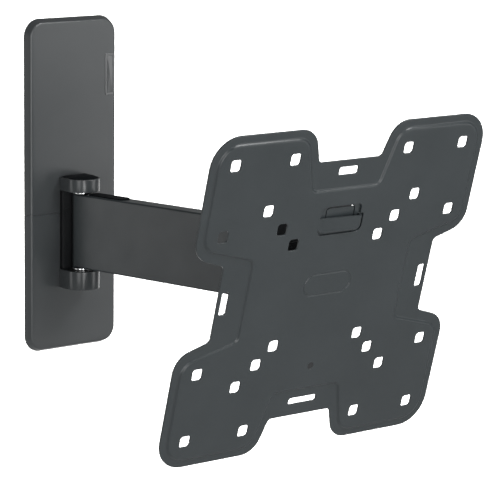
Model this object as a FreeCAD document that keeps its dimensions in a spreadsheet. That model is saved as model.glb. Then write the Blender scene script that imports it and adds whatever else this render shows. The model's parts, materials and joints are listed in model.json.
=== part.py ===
import FreeCAD, Part
import math
import os
import re
import Sketcher

# Full motion wall mount for a flat television: a wall bracket behind snap-on covers, one folding
# arm, a swivel head, and a tilting carrier that holds a stamped plate with square fixing holes.
#
# Main frame: origin at the middle of the wall bracket's back face, which lies on the wall,
# +X to the right for someone facing the wall, -Y out into the room, +Z up. Millimetres.
#
# Each moving group is drawn in a frame of its own, with -Y pointing away from the wall:
#   hinge  on the wall hinge's axis, at half the arm's height
#   arm    the same point, turned so that -Y runs along the arm
#   tip    the arm's far end, turned so that -Y runs back along the arm
#   head   the same point, not turned
#   tilt   on the tilt bolt's axis, leaning forwards with the plate

driving = [
    ("cover_wide", 80, "wall cover, width at the wall"),
    ("cover_tall", 247, "wall cover, height at the wall"),
    ("cover_deep", 6.5, "wall cover, front face to wall"),
    ("cover_lift", 0.4, "gap between the cover's rim and the wall"),
    ("cover_inset", 2.4, "how far the cover's sides lean in"),
    ("cover_round", 13, "wall cover, corner radius"),
    ("cover_wall", 1.6, "wall cover, wall thickness"),
    ("cover_edge", 1, "wall cover, rounding of the front edge"),
    ("cover_split", -20, "height of the joint between the covers"),
    ("cover_seam", 0.2, "width of that joint"),
    ("badge_left", 28.4, "badge, left edge"),
    ("badge_wide", 8.4, "badge, width"),
    ("badge_tall", 31, "badge, height"),
    ("badge_up", 80, "badge, middle"),
    ("badge_thick", 0.5, "badge, thickness"),
    ("badge_proud", 0.2, "badge, how far it stands proud"),
    ("badge_round", 0.8, "badge, corner radius"),
    ("bracket_wide", 64, "wall bracket, width"),
    ("bracket_tall", 232, "wall bracket, height"),
    ("bracket_thick", 2.5, "wall bracket, sheet thickness"),
    ("bracket_round", 8, "wall bracket, corner radius"),
    ("boss_wide", 44, "wall bracket, raised boss, width"),
    ("boss_tall", 70, "wall bracket, raised boss, height"),
    ("boss_rise", 1.9, "wall bracket, rise of the boss"),
    ("hollow_wide", 36, "hollow behind the boss, width"),
    ("hollow_tall", 50, "hollow behind the boss, height"),
    ("screw_bore", 4, "wall screw hole, radius"),
    ("screw_high", 104, "upper wall screw hole"),
    ("screw_low", -104, "lower wall screw hole"),
    ("slot_bore", 3.5, "levelling slot, half width"),
    ("slot_long", 18, "levelling slot, length"),
    ("slot_high", 76, "upper levelling slot"),
    ("slot_low", -86, "lower levelling slot"),
    ("hinge_out", 17.5, "wall hinge axis to wall"),
    ("hinge_up", -32.5, "middle of the wall hinge"),
    ("hinge_wide", 10.9, "hinge bracket, half width"),
    ("hinge_sheet", 4, "hinge bracket, sheet thickness"),
    ("hinge_gap", 29.4, "hinge bracket, half the gap between its ears"),
    ("web_gap", 9.1, "hinge axis to the web behind it"),
    ("nose_wide", 13, "hinge cover nose, half width"),
    ("nose_wall", 1.1, "hinge cover nose, wall thickness"),
    ("nose_tall", 9.7, "upper hinge cover nose, height"),
    ("nose_foot", 13.9, "lower hinge cover nose, height"),
    ("cap_thick", 1.2, "nose cap, thickness"),
    ("cap_rise", 2.2, "upper nose cap, height of its crown above the nose"),
    ("cap_soft", 1.8, "upper nose cap, radius round its crown"),
    ("cap_play", 0.1, "gap between a nose cap and the cover's front"),
    ("bend_inner", 0.5, "inner bend radius of the folded brackets"),
    ("peg_side", 6, "hinge bracket rivets, distance from the middle"),
    ("peg_up", 14, "hinge bracket rivets, distance above and below the middle"),
    ("pin", 4, "hinge and tilt bolts, radius"),
    ("ring_wide", 7.5, "thrust ring, radius"),
    ("play", 0.2, "end play at each thrust ring"),
    ("fit", 0.04, "running fit round each bolt"),
    ("bush_wide", 4.8, "bush and sleeve, outer radius"),
    ("bush_long", 15, "bush, length"),
    ("washer_wide", 8, "washer, radius"),
    ("washer_thick", 1, "washer, thickness"),
    ("hex_wide", 7, "hexagon heads and nuts, radius to the corners"),
    ("hex_tall", 3.2, "hexagon heads and nuts, height"),
    ("rivet", 2.5, "rivet shank, radius"),
    ("rivet_head", 3.2, "rivet head, radius"),
    ("rivet_rise", 1.5, "rivet head, height"),
    ("arm_long", 192.1, "arm, from hinge axis to hinge axis"),
    ("arm_thick", 14, "arm, thickness"),
    ("arm_tall", 55, "arm, height"),
    ("arm_wall", 1.5, "arm, wall thickness"),
    ("arm_round", 1.5, "arm, corner radius"),
    ("arm_over", 1, "arm tube, length past each hinge axis"),
    ("arm_inner", 0.5, "arm tube, corner radius inside"),
    ("lug_long", 12, "end cap lugs, length past the hinge axis"),
    ("lug_play", 0.4, "gap above and below the end cap lugs"),
    ("arm_yaw", 11.1, "arm, angle from square to the wall"),
    ("clip_near", 9.5, "cable clip, near end"),
    ("clip_far", 45, "cable clip, far end"),
    ("clip_wide", 11, "cable clip, width"),
    ("clip_rise", 0.9, "cable clip, height above the arm"),
    ("clip_round", 4.5, "cable clip, corner radius"),
    ("clip_peg", 7, "cable clip, distance from its ends to its pegs"),
    ("head_wide", 17, "head bracket, half width at the web"),
    ("head_ear", 10.8, "head bracket, radius of its ears"),
    ("head_sheet", 2.5, "head bracket, sheet thickness"),
    ("head_side", 4.3, "head bracket, depth of its square shoulders"),
    ("head_round", 2, "head bracket, radius of those shoulders"),
    ("head_throat", 5, "head bracket, radius where the ears begin"),
    ("head_gap", 28.6, "head bracket, half the gap between its ears"),
    ("low_head", 1.3, "flat bolt head on the head bracket, height"),
    ("tilt_out", 25.3, "swivel axis to tilt axis"),
    ("tilt_rest", 15, "plate's forward lean at rest"),
    ("knuckle_wide", 14, "tilt knuckle, half width"),
    ("knuckle_tall", 17, "tilt knuckle, half height of its foot"),
    ("knuckle_round", 8.5, "tilt knuckle, radius round the bolt"),
    ("knuckle_peg_side", 7, "knuckle rivets, distance from the middle"),
    ("knuckle_peg_up", 12.5, "knuckle rivets, distance above and below the middle"),
    ("bolt_past", 1, "tilt bolt, length past its nut"),
    ("spacer_wide", 5.9, "tilt spacer, outer radius"),
    ("disc_thick", 1.2, "friction disc, thickness"),
    ("side_play", 0.15, "side play of the tilt yoke"),
    ("yoke_sheet", 2.5, "tilt yoke, sheet thickness"),
    ("yoke_wide", 27, "tilt yoke, half width"),
    ("yoke_tongue", 13, "tilt yoke, half width of its tongue"),
    ("yoke_low", -40, "tilt yoke, lower shoulder"),
    ("yoke_high", 58, "tilt yoke, upper end"),
    ("tongue_low", -72, "tilt yoke, lower end"),
    ("tab_wide", 12, "tab cut in the yoke behind the window, half width"),
    ("tab_slit", 0.8, "tab in the yoke, width of the slit round it"),
    ("tab_low", 36, "tab in the yoke, root"),
    ("tab_high", 54.5, "tab in the yoke, free end"),
    ("tab_round", 2, "tab in the yoke, corner radius"),
    ("ear_root", 16, "tilt yoke, half height of its ears at the root"),
    ("ear_tip", 9.5, "tilt yoke, reach of its ears behind the bolt"),
    ("ear_round", 8.5, "tilt yoke, corner radius of its ears"),
    ("yoke_round", 6, "tilt yoke, corner radius of its shoulders"),
    ("yoke_throat", 4, "tilt yoke, radius where a tongue begins"),
    ("tongue_round", 5, "tilt yoke, corner radius of its tongue"),
    ("plate_out", 22, "tilt axis to the plate's front face"),
    ("plate_drop", 6.1, "plate's middle below the tilt axis"),
    ("plate_half", 120.25, "plate, half its width and height"),
    ("plate_sheet", 1.5, "plate, sheet thickness"),
    ("plate_rise", 1.3, "plate, rise of the middle above the rim"),
    ("rise_run", 1.6, "plate, width of the slope up to the middle"),
    ("lobe_round", 21.8, "plate, radius of the four corners"),
    ("notch_round", 16, "plate, radius where a notch opens"),
    ("notch_inner", 4, "plate, radius at the bottom of a notch"),
    ("notch_half", 27.5, "notch, half width at its bottom"),
    ("notch_top", 95.3, "upper and lower notch, distance from the middle"),
    ("notch_side", 93.3, "side notch, distance from the middle"),
    ("notch_lean", 17.5, "lean of a notch's sides, degrees"),
    ("middle_half", 114.8, "raised middle, half its width and height"),
    ("middle_round", 16.3, "raised middle, radius of the corners"),
    ("middle_open", 13, "raised middle, radius where a notch opens"),
    ("middle_inner", 5, "raised middle, radius at the bottom of a notch"),
    ("middle_notch", 29.2, "raised middle, half width of a notch"),
    ("middle_top", 75.3, "raised middle, upper and lower notch"),
    ("middle_side", 70.3, "raised middle, side notch"),
    ("middle_lean", 15, "raised middle, lean of a notch's sides, degrees"),
    ("square_wide", 8.4, "square fixing hole, width"),
    ("square_round", 2.2, "square fixing hole, corner radius"),
    ("vesa_outer", 100, "outer fixing holes, half spacing"),
    ("vesa_inner", 50, "100 mm pattern, half spacing"),
    ("vesa_small", 37.5, "75 mm pattern, half spacing"),
    ("vesa_extra", 64.65, "diagonal fixing holes, half spacing"),
    ("tie_long", 16.8, "tie slot, length"),
    ("tie_wide", 5.9, "tie slot, width"),
    ("tie_top", 87.4, "upper tie slot, distance from the middle"),
    ("tie_side", 87.4, "side tie slots, distance from the middle"),
    ("tie_low_long", 24.7, "lower tie slot, length"),
    ("tie_low_wide", 4.8, "lower tie slot, width"),
    ("tie_low", 84.2, "lower tie slot, distance from the middle"),
    ("tie_round", 1.75, "tie slots, corner radius"),
    ("hood_wide", 19, "hood, half width"),
    ("hood_low", 42.6, "hood, lower edge"),
    ("hood_high", 54.8, "hood, cut edge"),
    ("hood_rise", 2.6, "hood, how far it stands proud"),
    ("hood_round", 4.4, "hood, lower corner radius"),
    ("scoop_round", 1, "hollow under the hood, corner radius"),
    ("window_wide", 17.5, "window above the hood, half width"),
    ("window_high", 62.4, "window above the hood, upper edge"),
    ("window_round", 3, "window, upper corner radius"),
    ("lock_low", 57.5, "lock screw, distance below the middle"),
    ("lock_head", 4.5, "lock screw, head radius"),
    ("lock_tall", 2.5, "lock screw, head height"),
    ("lock_sunk", 0.2, "lock screw, depth of its tip below the plate's face"),
]

doc = FreeCAD.newDocument("tv_wall_mount")
sheet = doc.addObject("Spreadsheet::Sheet", "Dims")
for row, (alias, number, meaning) in enumerate(driving, 1):
    sheet.set("A%d" % row, meaning)
    sheet.set("B%d" % row, str(number))
    sheet.setAlias("B%d" % row, alias)
doc.recompute()

names = re.compile(r"\b(%s)\b" % "|".join(alias for alias, number, meaning in driving))
subparts = []

# Combined sizes that several pieces share, written as formulas of the sheet's cells.
tipX = "arm_long * sin(arm_yaw * 1deg)"
tipY = "-hinge_out - arm_long * cos(arm_yaw * 1deg)"
earTop = "(hinge_gap + hinge_sheet)"
headTop = "(head_gap + head_sheet)"
armTop = "(arm_tall / 2)"
noseTop = "(hinge_gap + nose_tall)"
noseFoot = "(hinge_gap + nose_foot)"
bracketBack = "(hinge_out - bracket_thick - boss_rise)"
coverFront = "(hinge_out - cover_deep)"
discOut = "(knuckle_wide + disc_thick)"
yokeIn = "(knuckle_wide + disc_thick + side_play)"
yokeOut = "(knuckle_wide + disc_thick + side_play + yoke_sheet)"
stackOut = "(knuckle_wide + disc_thick + 2 * side_play + yoke_sheet)"

xAxis = FreeCAD.Vector(1, 0, 0)
zAxis = FreeCAD.Vector(0, 0, 1)
frames = {
    "wall": ("0", "0", "0", zAxis, "0"),
    "hinge": ("0", "-hinge_out", "hinge_up", zAxis, "0"),
    "arm": ("0", "-hinge_out", "hinge_up", zAxis, "arm_yaw"),
    "tip": (tipX, tipY, "hinge_up", zAxis, "arm_yaw + 180"),
    "head": (tipX, tipY, "hinge_up", zAxis, "0"),
    "tilt": (tipX, tipY + " - tilt_out", "hinge_up", xAxis, "tilt_rest"),
}
quarterTurns = {
    "x": FreeCAD.Rotation(FreeCAD.Vector(0, 1, 0), 90),
    "y": FreeCAD.Rotation(FreeCAD.Vector(1, 0, 0), -90),
    "z": FreeCAD.Rotation(),
}


# ---- helpers: formulas, primitives and sketches ----

def formula(text):
    """The same formula with each alias pointed at the sheet."""
    return names.sub(r"Dims.\1", str(text))


def value(text):
    """What a formula comes to now."""
    return float(sheet.evalExpression(formula(text)))


def bind(item, prop, text):
    item.setExpression(prop, formula(text))


def settle(item, label, frame):
    """Name a finished sub-part and put it in its frame."""
    x, y, z, axis, turn = frames[frame]
    item.Label = label
    item.Placement = FreeCAD.Placement(FreeCAD.Vector(), FreeCAD.Rotation(axis, 1))
    bind(item, "Placement.Base.x", x)
    bind(item, "Placement.Base.y", y)
    bind(item, "Placement.Base.z", z)
    bind(item, "Placement.Rotation.Angle", "(%s) * 1deg" % turn)
    subparts.append(item)
    return item


def box(name, across, along, up):
    """A block between two X, two Y and two Z planes."""
    item = doc.addObject("Part::Box", name)
    for side, axis, (low, high) in (("Length", "x", across), ("Width", "y", along), ("Height", "z", up)):
        bind(item, side, "(%s) - (%s)" % (high, low))
        bind(item, "Placement.Base." + axis, low)
    return item


def rod(name, axis, radius, start, stop, across="0", other="0"):
    """A round bar along one axis; across and other place it on the other two, in X, Y, Z order."""
    item = doc.addObject("Part::Cylinder", name)
    item.Placement = FreeCAD.Placement(FreeCAD.Vector(), quarterTurns[axis])
    bind(item, "Radius", radius)
    bind(item, "Height", "(%s) - (%s)" % (stop, start))
    place = {"x": (start, across, other), "y": (across, start, other), "z": (across, other, start)}
    for word, text in zip("xyz", place[axis]):
        bind(item, "Placement.Base." + word, text)
    return item


def hexagon(name, axis, start, stop, across="0", other="0"):
    """A hexagonal head or nut along one axis."""
    item = doc.addObject("Part::Prism", name)
    item.Polygon = 6
    item.Placement = FreeCAD.Placement(FreeCAD.Vector(), quarterTurns[axis])
    bind(item, "Circumradius", "hex_wide")
    bind(item, "Height", "(%s) - (%s)" % (stop, start))
    place = {"x": (start, across, other), "y": (across, start, other), "z": (across, other, start)}
    for word, text in zip("xyz", place[axis]):
        bind(item, "Placement.Base." + word, text)
    return item


def fuse(name, *shapes):
    item = doc.addObject("Part::MultiFuse", name)
    item.Shapes = list(shapes)
    return item


def cut(name, base, tool):
    item = doc.addObject("Part::Cut", name)
    item.Base = base
    item.Tool = tool
    return item


def group(name, *shapes):
    """Separate solids that are one node."""
    item = doc.addObject("Part::Compound", name)
    item.Links = list(shapes)
    return item


def ring(name, axis, outer, inner, start, stop, across="0", other="0"):
    solid = rod(name + "_outer", axis, outer, start, stop, across, other)
    hole = rod(name + "_inner", axis, inner, start, stop, across, other)
    return cut(name, solid, hole)


def newBody(name):
    return doc.addObject("PartDesign::Body", name)


def newSketch(body, name, plane, lift):
    sketch = body.newObject("Sketcher::SketchObject", name)
    role = plane + "_Plane"
    origin = [item for item in body.Origin.OriginFeatures if item.Role == role][0]
    sketch.AttachmentSupport = (origin, [""])
    sketch.MapMode = "FlatFace"
    bind(sketch, "AttachmentOffset.Base.z", lift)
    return sketch


def hold(sketch, kind, geometry, text, name):
    """Add one sizing constraint and bind it to a formula."""
    index = sketch.addConstraint(Sketcher.Constraint(kind, *geometry, value(text)))
    sketch.renameConstraint(index, name)
    bind(sketch, "Constraints." + name, text)


def panel(body, name, plane, lift, across, up, corner):
    """Sketch of a rectangle with rounded corners, held by its four sides and its radius."""
    sketch = newSketch(body, name, plane, lift)
    left, right = value(across[0]), value(across[1])
    low, high = value(up[0]), value(up[1])
    r = value(corner)
    flat = FreeCAD.Vector
    centres = [flat(right - r, low + r, 0), flat(right - r, high - r, 0),
               flat(left + r, high - r, 0), flat(left + r, low + r, 0)]
    runs = [(flat(left + r, low, 0), flat(right - r, low, 0)),
            (flat(right, low + r, 0), flat(right, high - r, 0)),
            (flat(right - r, high, 0), flat(left + r, high, 0)),
            (flat(left, high - r, 0), flat(left, low + r, 0))]
    for index in range(4):
        sketch.addGeometry(Part.LineSegment(*runs[index]))
        circle = Part.Circle(centres[index], zAxis, r)
        begin = (index - 1) * math.pi / 2
        sketch.addGeometry(Part.ArcOfCircle(circle, begin, begin + math.pi / 2))
    for index in range(8):
        sketch.addConstraint(Sketcher.Constraint("Tangent", index, 2, (index + 1) % 8, 1))
    for index in (0, 4):
        sketch.addConstraint(Sketcher.Constraint("Horizontal", index))
        sketch.addConstraint(Sketcher.Constraint("Vertical", index + 2))
    for index in (3, 5, 7):
        sketch.addConstraint(Sketcher.Constraint("Equal", 1, index))
    hold(sketch, "Radius", (1,), corner, "corner")
    hold(sketch, "DistanceX", (-1, 1, 2, 1), across[1], "right")
    hold(sketch, "DistanceX", (-1, 1, 6, 1), across[0], "left")
    hold(sketch, "DistanceY", (-1, 1, 0, 1), up[0], "low")
    hold(sketch, "DistanceY", (-1, 1, 4, 1), up[1], "high")
    return sketch


def holes(body, name, plane, radius, centres, lift="0"):
    """Sketch of equal round holes."""
    sketch = newSketch(body, name, plane, lift)
    for index, (across, up) in enumerate(centres):
        middle = FreeCAD.Vector(value(across), value(up), 0)
        sketch.addGeometry(Part.Circle(middle, zAxis, value(radius)))
        hold(sketch, "Radius", (index,), radius, "radius%d" % index)
        hold(sketch, "DistanceX", (-1, 1, index, 3), across, "across%d" % index)
        hold(sketch, "DistanceY", (-1, 1, index, 3), up, "up%d" % index)
    return sketch


def unit(start, end):
    step = end - start
    return step / step.Length


def inward(corners, inset):
    """The same anticlockwise outline with every side moved inwards; radii follow."""
    points = [FreeCAD.Vector(x, y, 0) for x, y, radius in corners]
    result = []
    for index, corner in enumerate(points):
        into = unit(points[index - 1], corner)
        out = unit(corner, points[(index + 1) % len(points)])
        turn = math.asin(max(-1, min(1, into.cross(out).z)))
        normalIn = FreeCAD.Vector(-into.y, into.x, 0)
        normalOut = FreeCAD.Vector(-out.y, out.x, 0)
        shift = (normalIn + normalOut) * (inset / (1 + normalIn.dot(normalOut)))
        radius = corners[index][2] - math.copysign(inset, turn)
        moved = corner + shift
        result.append((moved.x, moved.y, radius))
    return result


def outline(corners):
    """Lines and arcs round an anticlockwise list of (x, y, radius) corners."""
    points = [FreeCAD.Vector(x, y, 0) for x, y, radius in corners]
    starts, middles, ends = [], [], []
    for index, corner in enumerate(points):
        radius = corners[index][2]
        back = unit(corner, points[index - 1])
        on = unit(corner, points[(index + 1) % len(points)])
        half = math.acos(max(-1, min(1, back.dot(on)))) / 2
        bisector = back + on
        run = radius / math.tan(half)
        starts.append(corner + back * run)
        ends.append(corner + on * run)
        middles.append(corner + bisector / bisector.Length * (radius / math.sin(half) - radius))
    edges = []
    for index in range(len(points)):
        if (starts[index] - ends[index - 1]).Length > 1e-6:
            edges.append(Part.LineSegment(ends[index - 1], starts[index]))
        if corners[index][2] > 0:
            edges.append(Part.Arc(starts[index], middles[index], ends[index]))
    return edges


def traced(body, name, plane, lift, *loops):
    """Sketch of one or more outlines worked out from the sheet."""
    sketch = newSketch(body, name, plane, lift)
    for loop in loops:
        for edge in outline(loop):
            sketch.addGeometry(edge)
    return sketch


def tile(across, up, wide, tall, radius):
    """Corners of a rounded rectangle about a middle point."""
    return [(across - wide, up - tall, radius), (across + wide, up - tall, radius),
            (across + wide, up + tall, radius), (across - wide, up + tall, radius)]


def pad(body, name, sketch, length, both=False):
    item = body.newObject("PartDesign::Pad", name)
    item.Profile = sketch
    bind(item, "Length", length)
    if both:
        item.SideType = "Symmetric"
    doc.recompute()
    return item


def pocket(body, name, sketch, length=None, both=False):
    """Cut away from the sketch plane, against its normal; without a length, right through."""
    before = body.Shape.Volume
    item = body.newObject("PartDesign::Pocket", name)
    item.Profile = sketch
    if length is None:
        item.Type = "ThroughAll"
    else:
        bind(item, "Length", length)
    if both:
        item.SideType = "Symmetric"
    doc.recompute()
    if not body.Shape.Volume < before - 1e-3:
        raise RuntimeError(name + " removes nothing")
    return item


def loft(body, name, kind, first, last):
    item = body.newObject("PartDesign::" + kind, name)
    item.Profile = first
    item.Sections = [last]
    item.Ruled = True
    doc.recompute()
    return item


# ---- wall side ----

def makeWallBracket():
    body = newBody("wall_bracket")
    sides = ("-bracket_wide / 2", "bracket_wide / 2")
    ends = ("-bracket_tall / 2", "bracket_tall / 2")
    pad(body, "bracket_sheet", panel(body, "bracket_outline", "XZ", "0", sides, ends, "bracket_round"),
        "bracket_thick")
    sides = ("-boss_wide / 2", "boss_wide / 2")
    ends = ("hinge_up - boss_tall / 2", "hinge_up + boss_tall / 2")
    pad(body, "bracket_boss", panel(body, "boss_outline", "XZ", "0", sides, ends, "bracket_round"),
        "bracket_thick + boss_rise")
    sides = ("-hollow_wide / 2", "hollow_wide / 2")
    ends = ("hinge_up - hollow_tall / 2", "hinge_up + hollow_tall / 2")
    hollow = panel(body, "boss_hollow", "XZ", "boss_rise", sides, ends, "bracket_round - bracket_thick")
    pocket(body, "bracket_hollow", hollow)
    screws = [("0", "screw_high"), ("0", "screw_low")]
    pocket(body, "bracket_screw_holes", holes(body, "screw_centres", "XZ", "screw_bore", screws, "hinge_out"))
    slots = [tile(0, value(up), value("slot_bore"), value("slot_long / 2"), value("slot_bore"))
             for up in ("slot_high", "slot_low")]
    pocket(body, "bracket_slots", traced(body, "slot_outlines", "XZ", "hinge_out", *slots))
    centres = [(across, "hinge_up + " + up) for across, up in hingePegs]
    pocket(body, "bracket_rivet_holes", holes(body, "rivet_centres", "XZ", "rivet", centres, "hinge_out"))
    settle(body, "wall_bracket", "wall")


def makeHingeBracket():
    """A C of thick sheet whose ears hold the hinge bolt, drawn about the hinge axis."""
    body = newBody("hinge_bracket")
    half = value("hinge_wide")
    back = value(bracketBack)
    plan = [(-half, -half, half), (half, -half, half), (half, back, 0), (-half, back, 0)]
    pad(body, "hinge_block", traced(body, "hinge_plan", "XY", "0", plan), "2 * " + earTop, both=True)
    gap = panel(body, "hinge_opening", "YZ", "0", ("-2 * hinge_wide", "web_gap"),
                ("-hinge_gap", "hinge_gap"), "bend_inner")
    pocket(body, "hinge_gap_cut", gap, both=True)
    pocket(body, "hinge_pin_hole", holes(body, "hinge_centre", "XY", "pin", [("0", "0")]), both=True)
    pocket(body, "hinge_rivet_holes", holes(body, "hinge_rivets", "XZ", "rivet", hingePegs), both=True)
    settle(body, "hinge_bracket", "hinge")


def makeRivets(label, frame, centres, shankStart, shankStop, headStart, headStop):
    solids = []
    for index, (across, up) in enumerate(centres):
        name = "%s_%d" % (label, index)
        shank = rod(name + "_shank", "y", "rivet", shankStart, shankStop, across, up)
        head = rod(name + "_head", "y", "rivet_head", headStart, headStop, across, up)
        solids.append(fuse(name, shank, head))
    settle(group(label, *solids), label, frame)


def makeBracketRivets():
    """Flush in front, so that the arm can pass, and headed in the hollow behind the boss."""
    boss = bracketBack + " + bracket_thick"
    makeRivets("bracket_rivets", "hinge", hingePegs, "web_gap", boss, boss, boss + " + rivet_rise")


def makeCover(label, upper):
    """Half of the wall cover, with the nose that hides one ear of the hinge bracket."""
    body = newBody(label)
    side, end = "cover_wide / 2", "cover_tall / 2"
    rear = panel(body, label + "_rear", "XZ", "cover_lift", ("-" + side, side), ("-" + end, end),
                 "cover_round")
    narrow, short = side + " - cover_inset", end + " - cover_inset"
    front = panel(body, label + "_front", "XZ", "cover_deep", ("-(%s)" % narrow, narrow),
                  ("-(%s)" % short, short), "cover_round - cover_inset")
    outer = loft(body, label + "_outer", "AdditiveLoft", rear, front)
    level = -value("cover_deep")
    edges = ["Edge%d" % (index + 1) for index, edge in enumerate(outer.Shape.Edges)
             if abs(edge.BoundBox.YMin - level) < 1e-4 and abs(edge.BoundBox.YMax - level) < 1e-4]
    rounding = body.newObject("PartDesign::Fillet", label + "_rounding")
    rounding.Base = (outer, edges)
    bind(rounding, "Radius", "cover_edge")
    doc.recompute()
    side, end = side + " - cover_wall", end + " - cover_wall"
    rear = panel(body, label + "_hollow_rear", "XZ", "cover_lift", ("-(%s)" % side, side),
                 ("-(%s)" % end, end), "cover_round - cover_wall")
    side, end = narrow + " - cover_wall", short + " - cover_wall"
    front = panel(body, label + "_hollow_front", "XZ", "cover_deep - cover_wall", ("-(%s)" % side, side),
                  ("-(%s)" % end, end), "cover_round - cover_inset - cover_wall")
    loft(body, label + "_hollow", "SubtractiveLoft", rear, front)

    wide, seam = "cover_wide", "cover_seam / 2"
    away = ("-cover_tall", "cover_split + " + seam) if upper else ("cover_split - " + seam, "cover_tall")
    other = panel(body, label + "_other_half", "XZ", "0", ("-" + wide, wide), away, "cover_edge")
    pocket(body, label + "_half", other, both=True)
    half = value("nose_wide")
    hub = -value("hinge_out")
    root = -value("cover_deep") + value("cover_wall") / 2
    plan = [(-half, hub - half, half), (half, hub - half, half), (half, root, 0), (-half, root, 0)]
    bottom = "hinge_up + hinge_gap" if upper else "hinge_up - " + noseFoot
    tall = "nose_tall" if upper else "nose_foot"
    pad(body, label + "_nose", traced(body, label + "_nose_plan", "XY", bottom, plan), tall)
    half = half - value("nose_wall")
    plan = [(-half, hub - half, half), (half, hub - half, half), (half, 0, 0), (-half, 0, 0)]
    top = "hinge_up + " + noseTop if upper else "hinge_up - hinge_gap"
    pocket(body, label + "_nose_hollow", traced(body, label + "_nose_inner", "XY", top, plan), tall)
    slot = ("hinge_up", "hinge_up + hinge_gap + 1") if upper else ("hinge_up - hinge_gap - 1", "hinge_up")
    slot = ("cover_split - 1", slot[1]) if upper else (slot[0], "cover_split + 1")
    edge = "nose_wide - nose_wall"
    opening = panel(body, label + "_opening", "XZ", "cover_deep + 1", ("-(%s)" % edge, edge), slot,
                    "bend_inner")
    pocket(body, label + "_hinge_opening", opening, "cover_deep")
    if upper:
        sides = ("badge_left", "badge_left + badge_wide")
        ends = ("badge_up - badge_tall / 2", "badge_up + badge_tall / 2")
        seat = panel(body, "badge_seat", "XZ", "cover_deep", sides, ends, "badge_round")
        pocket(body, "badge_recess", seat, "badge_thick - badge_proud")
    settle(body, label, "wall")


def makeBadge():
    body = newBody("cover_badge")
    sides = ("badge_left", "badge_left + badge_wide")
    ends = ("badge_up - badge_tall / 2", "badge_up + badge_tall / 2")
    lift = "cover_deep - badge_thick + badge_proud"
    plan = panel(body, "badge_outline", "XZ", lift, sides, ends, "badge_round")
    pad(body, "badge_sheet", plan, "badge_thick")
    settle(body, "cover_badge", "wall")


def makeNoseCap(label, low, thick, crowned):
    """Cap that closes the end of a nose; the upper one has a rounded crown."""
    body = newBody(label)
    half = value("nose_wide - nose_wall")
    back = value(coverFront + " - cap_play")
    plan = [(-half, -half, half), (half, -half, half), (half, back, 0), (-half, back, 0)]
    sheet = pad(body, label + "_sheet", traced(body, label + "_plan", "XY", low, plan), thick)
    if crowned:
        doc.recompute()
        level = value(low + " + " + thick)
        edges = ["Edge%d" % (index + 1) for index, edge in enumerate(sheet.Shape.Edges)
                 if abs(edge.BoundBox.ZMin - level) < 1e-4]
        rounding = body.newObject("PartDesign::Fillet", label + "_rounding")
        rounding.Base = (sheet, edges)
        bind(rounding, "Radius", "cap_soft")
        doc.recompute()
    settle(body, label, "hinge")


def makePivot(side, frame, top, gap, flatHead):
    """Bolt, nut, washers and thrust rings of one upright hinge, about its axis."""
    under = "-%s - washer_thick" % top
    foot = under + " - hex_tall"
    seat = top if flatHead else top + " + washer_thick"
    bolt = side + "_hinge_bolt"
    shank = rod(bolt + "_shank", "z", "pin", foot, seat)
    if flatHead:
        head = rod(bolt + "_head", "z", "hex_wide", seat, seat + " + low_head")
    else:
        head = hexagon(bolt + "_head", "z", seat, seat + " + hex_tall")
    settle(fuse(bolt, shank, head), bolt, frame)
    nut = side + "_hinge_nut"
    thread = rod(nut + "_thread", "z", "pin", foot, under)
    settle(cut(nut, hexagon(nut + "_block", "z", foot, under), thread), nut, frame)
    washers = side + "_hinge_washers"
    discs = [ring(washers + "_low", "z", "washer_wide", "pin", under, "-" + top)]
    if not flatHead:
        discs.append(ring(washers + "_high", "z", "washer_wide", "pin", top, seat))
    settle(group(washers, *discs), washers, frame)
    rings = side + "_hinge_rings"
    upper = ring(rings + "_high", "z", "ring_wide", "pin", armTop + " + play", gap)
    lower = ring(rings + "_low", "z", "ring_wide", "pin", "-" + gap, "-%s - play" % armTop)
    settle(group(rings, upper, lower), rings, frame)


# ---- arm ----

def makeArmTube():
    body = newBody("arm_tube")
    side = "arm_thick / 2"
    shell = panel(body, "tube_outline", "XZ", "-arm_over", ("-" + side, side), ("-" + armTop, armTop),
                  "arm_round")
    pad(body, "tube_shell", shell, "arm_long + 2 * arm_over")
    side, end = side + " - arm_wall", armTop + " - arm_wall"
    bore = panel(body, "tube_bore", "XZ", "arm_long + 2 * arm_over", ("-(%s)" % side, side),
                 ("-(%s)" % end, end), "arm_inner")
    pocket(body, "tube_hollow", bore)
    centres = [("0", "0"), ("0", "-arm_long")]
    pocket(body, "tube_hinge_holes", holes(body, "tube_hinges", "XY", "bush_wide", centres), both=True)
    pegs = holes(body, "tube_pegs", "XY", "rivet", clipPegs, armTop)
    pocket(body, "tube_peg_holes", pegs, "2 * arm_wall")
    settle(body, "arm_tube", "arm")


def makeEndCap(label, frame):
    """Half-round end piece with two lugs that the bushes pin inside the tube."""
    drum = rod(label + "_drum", "z", "arm_thick / 2", "-" + armTop, armTop)
    beyond = box(label + "_beyond", ("-arm_thick", "arm_thick"), ("arm_over", "arm_thick"),
                 ("-arm_tall", "arm_tall"))
    nose = doc.addObject("Part::Common", label + "_nose")
    nose.Base = drum
    nose.Tool = beyond
    inner = "arm_thick / 2 - arm_wall - fit"
    across = ("-(%s)" % inner, inner)
    along = ("-lug_long", "2 * arm_over")
    outer = armTop + " - arm_wall - lug_play"
    deep = armTop + " - bush_long"
    upper = box(label + "_upper_lug", across, along, (deep, outer))
    lower = box(label + "_lower_lug", across, along, ("-(%s)" % outer, "-(%s)" % deep))
    whole = fuse(label + "_whole", nose, upper, lower)
    bore = rod(label + "_bore", "z", "bush_wide", "-arm_tall", "arm_tall")
    settle(cut(label, whole, bore), label, frame)


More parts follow.
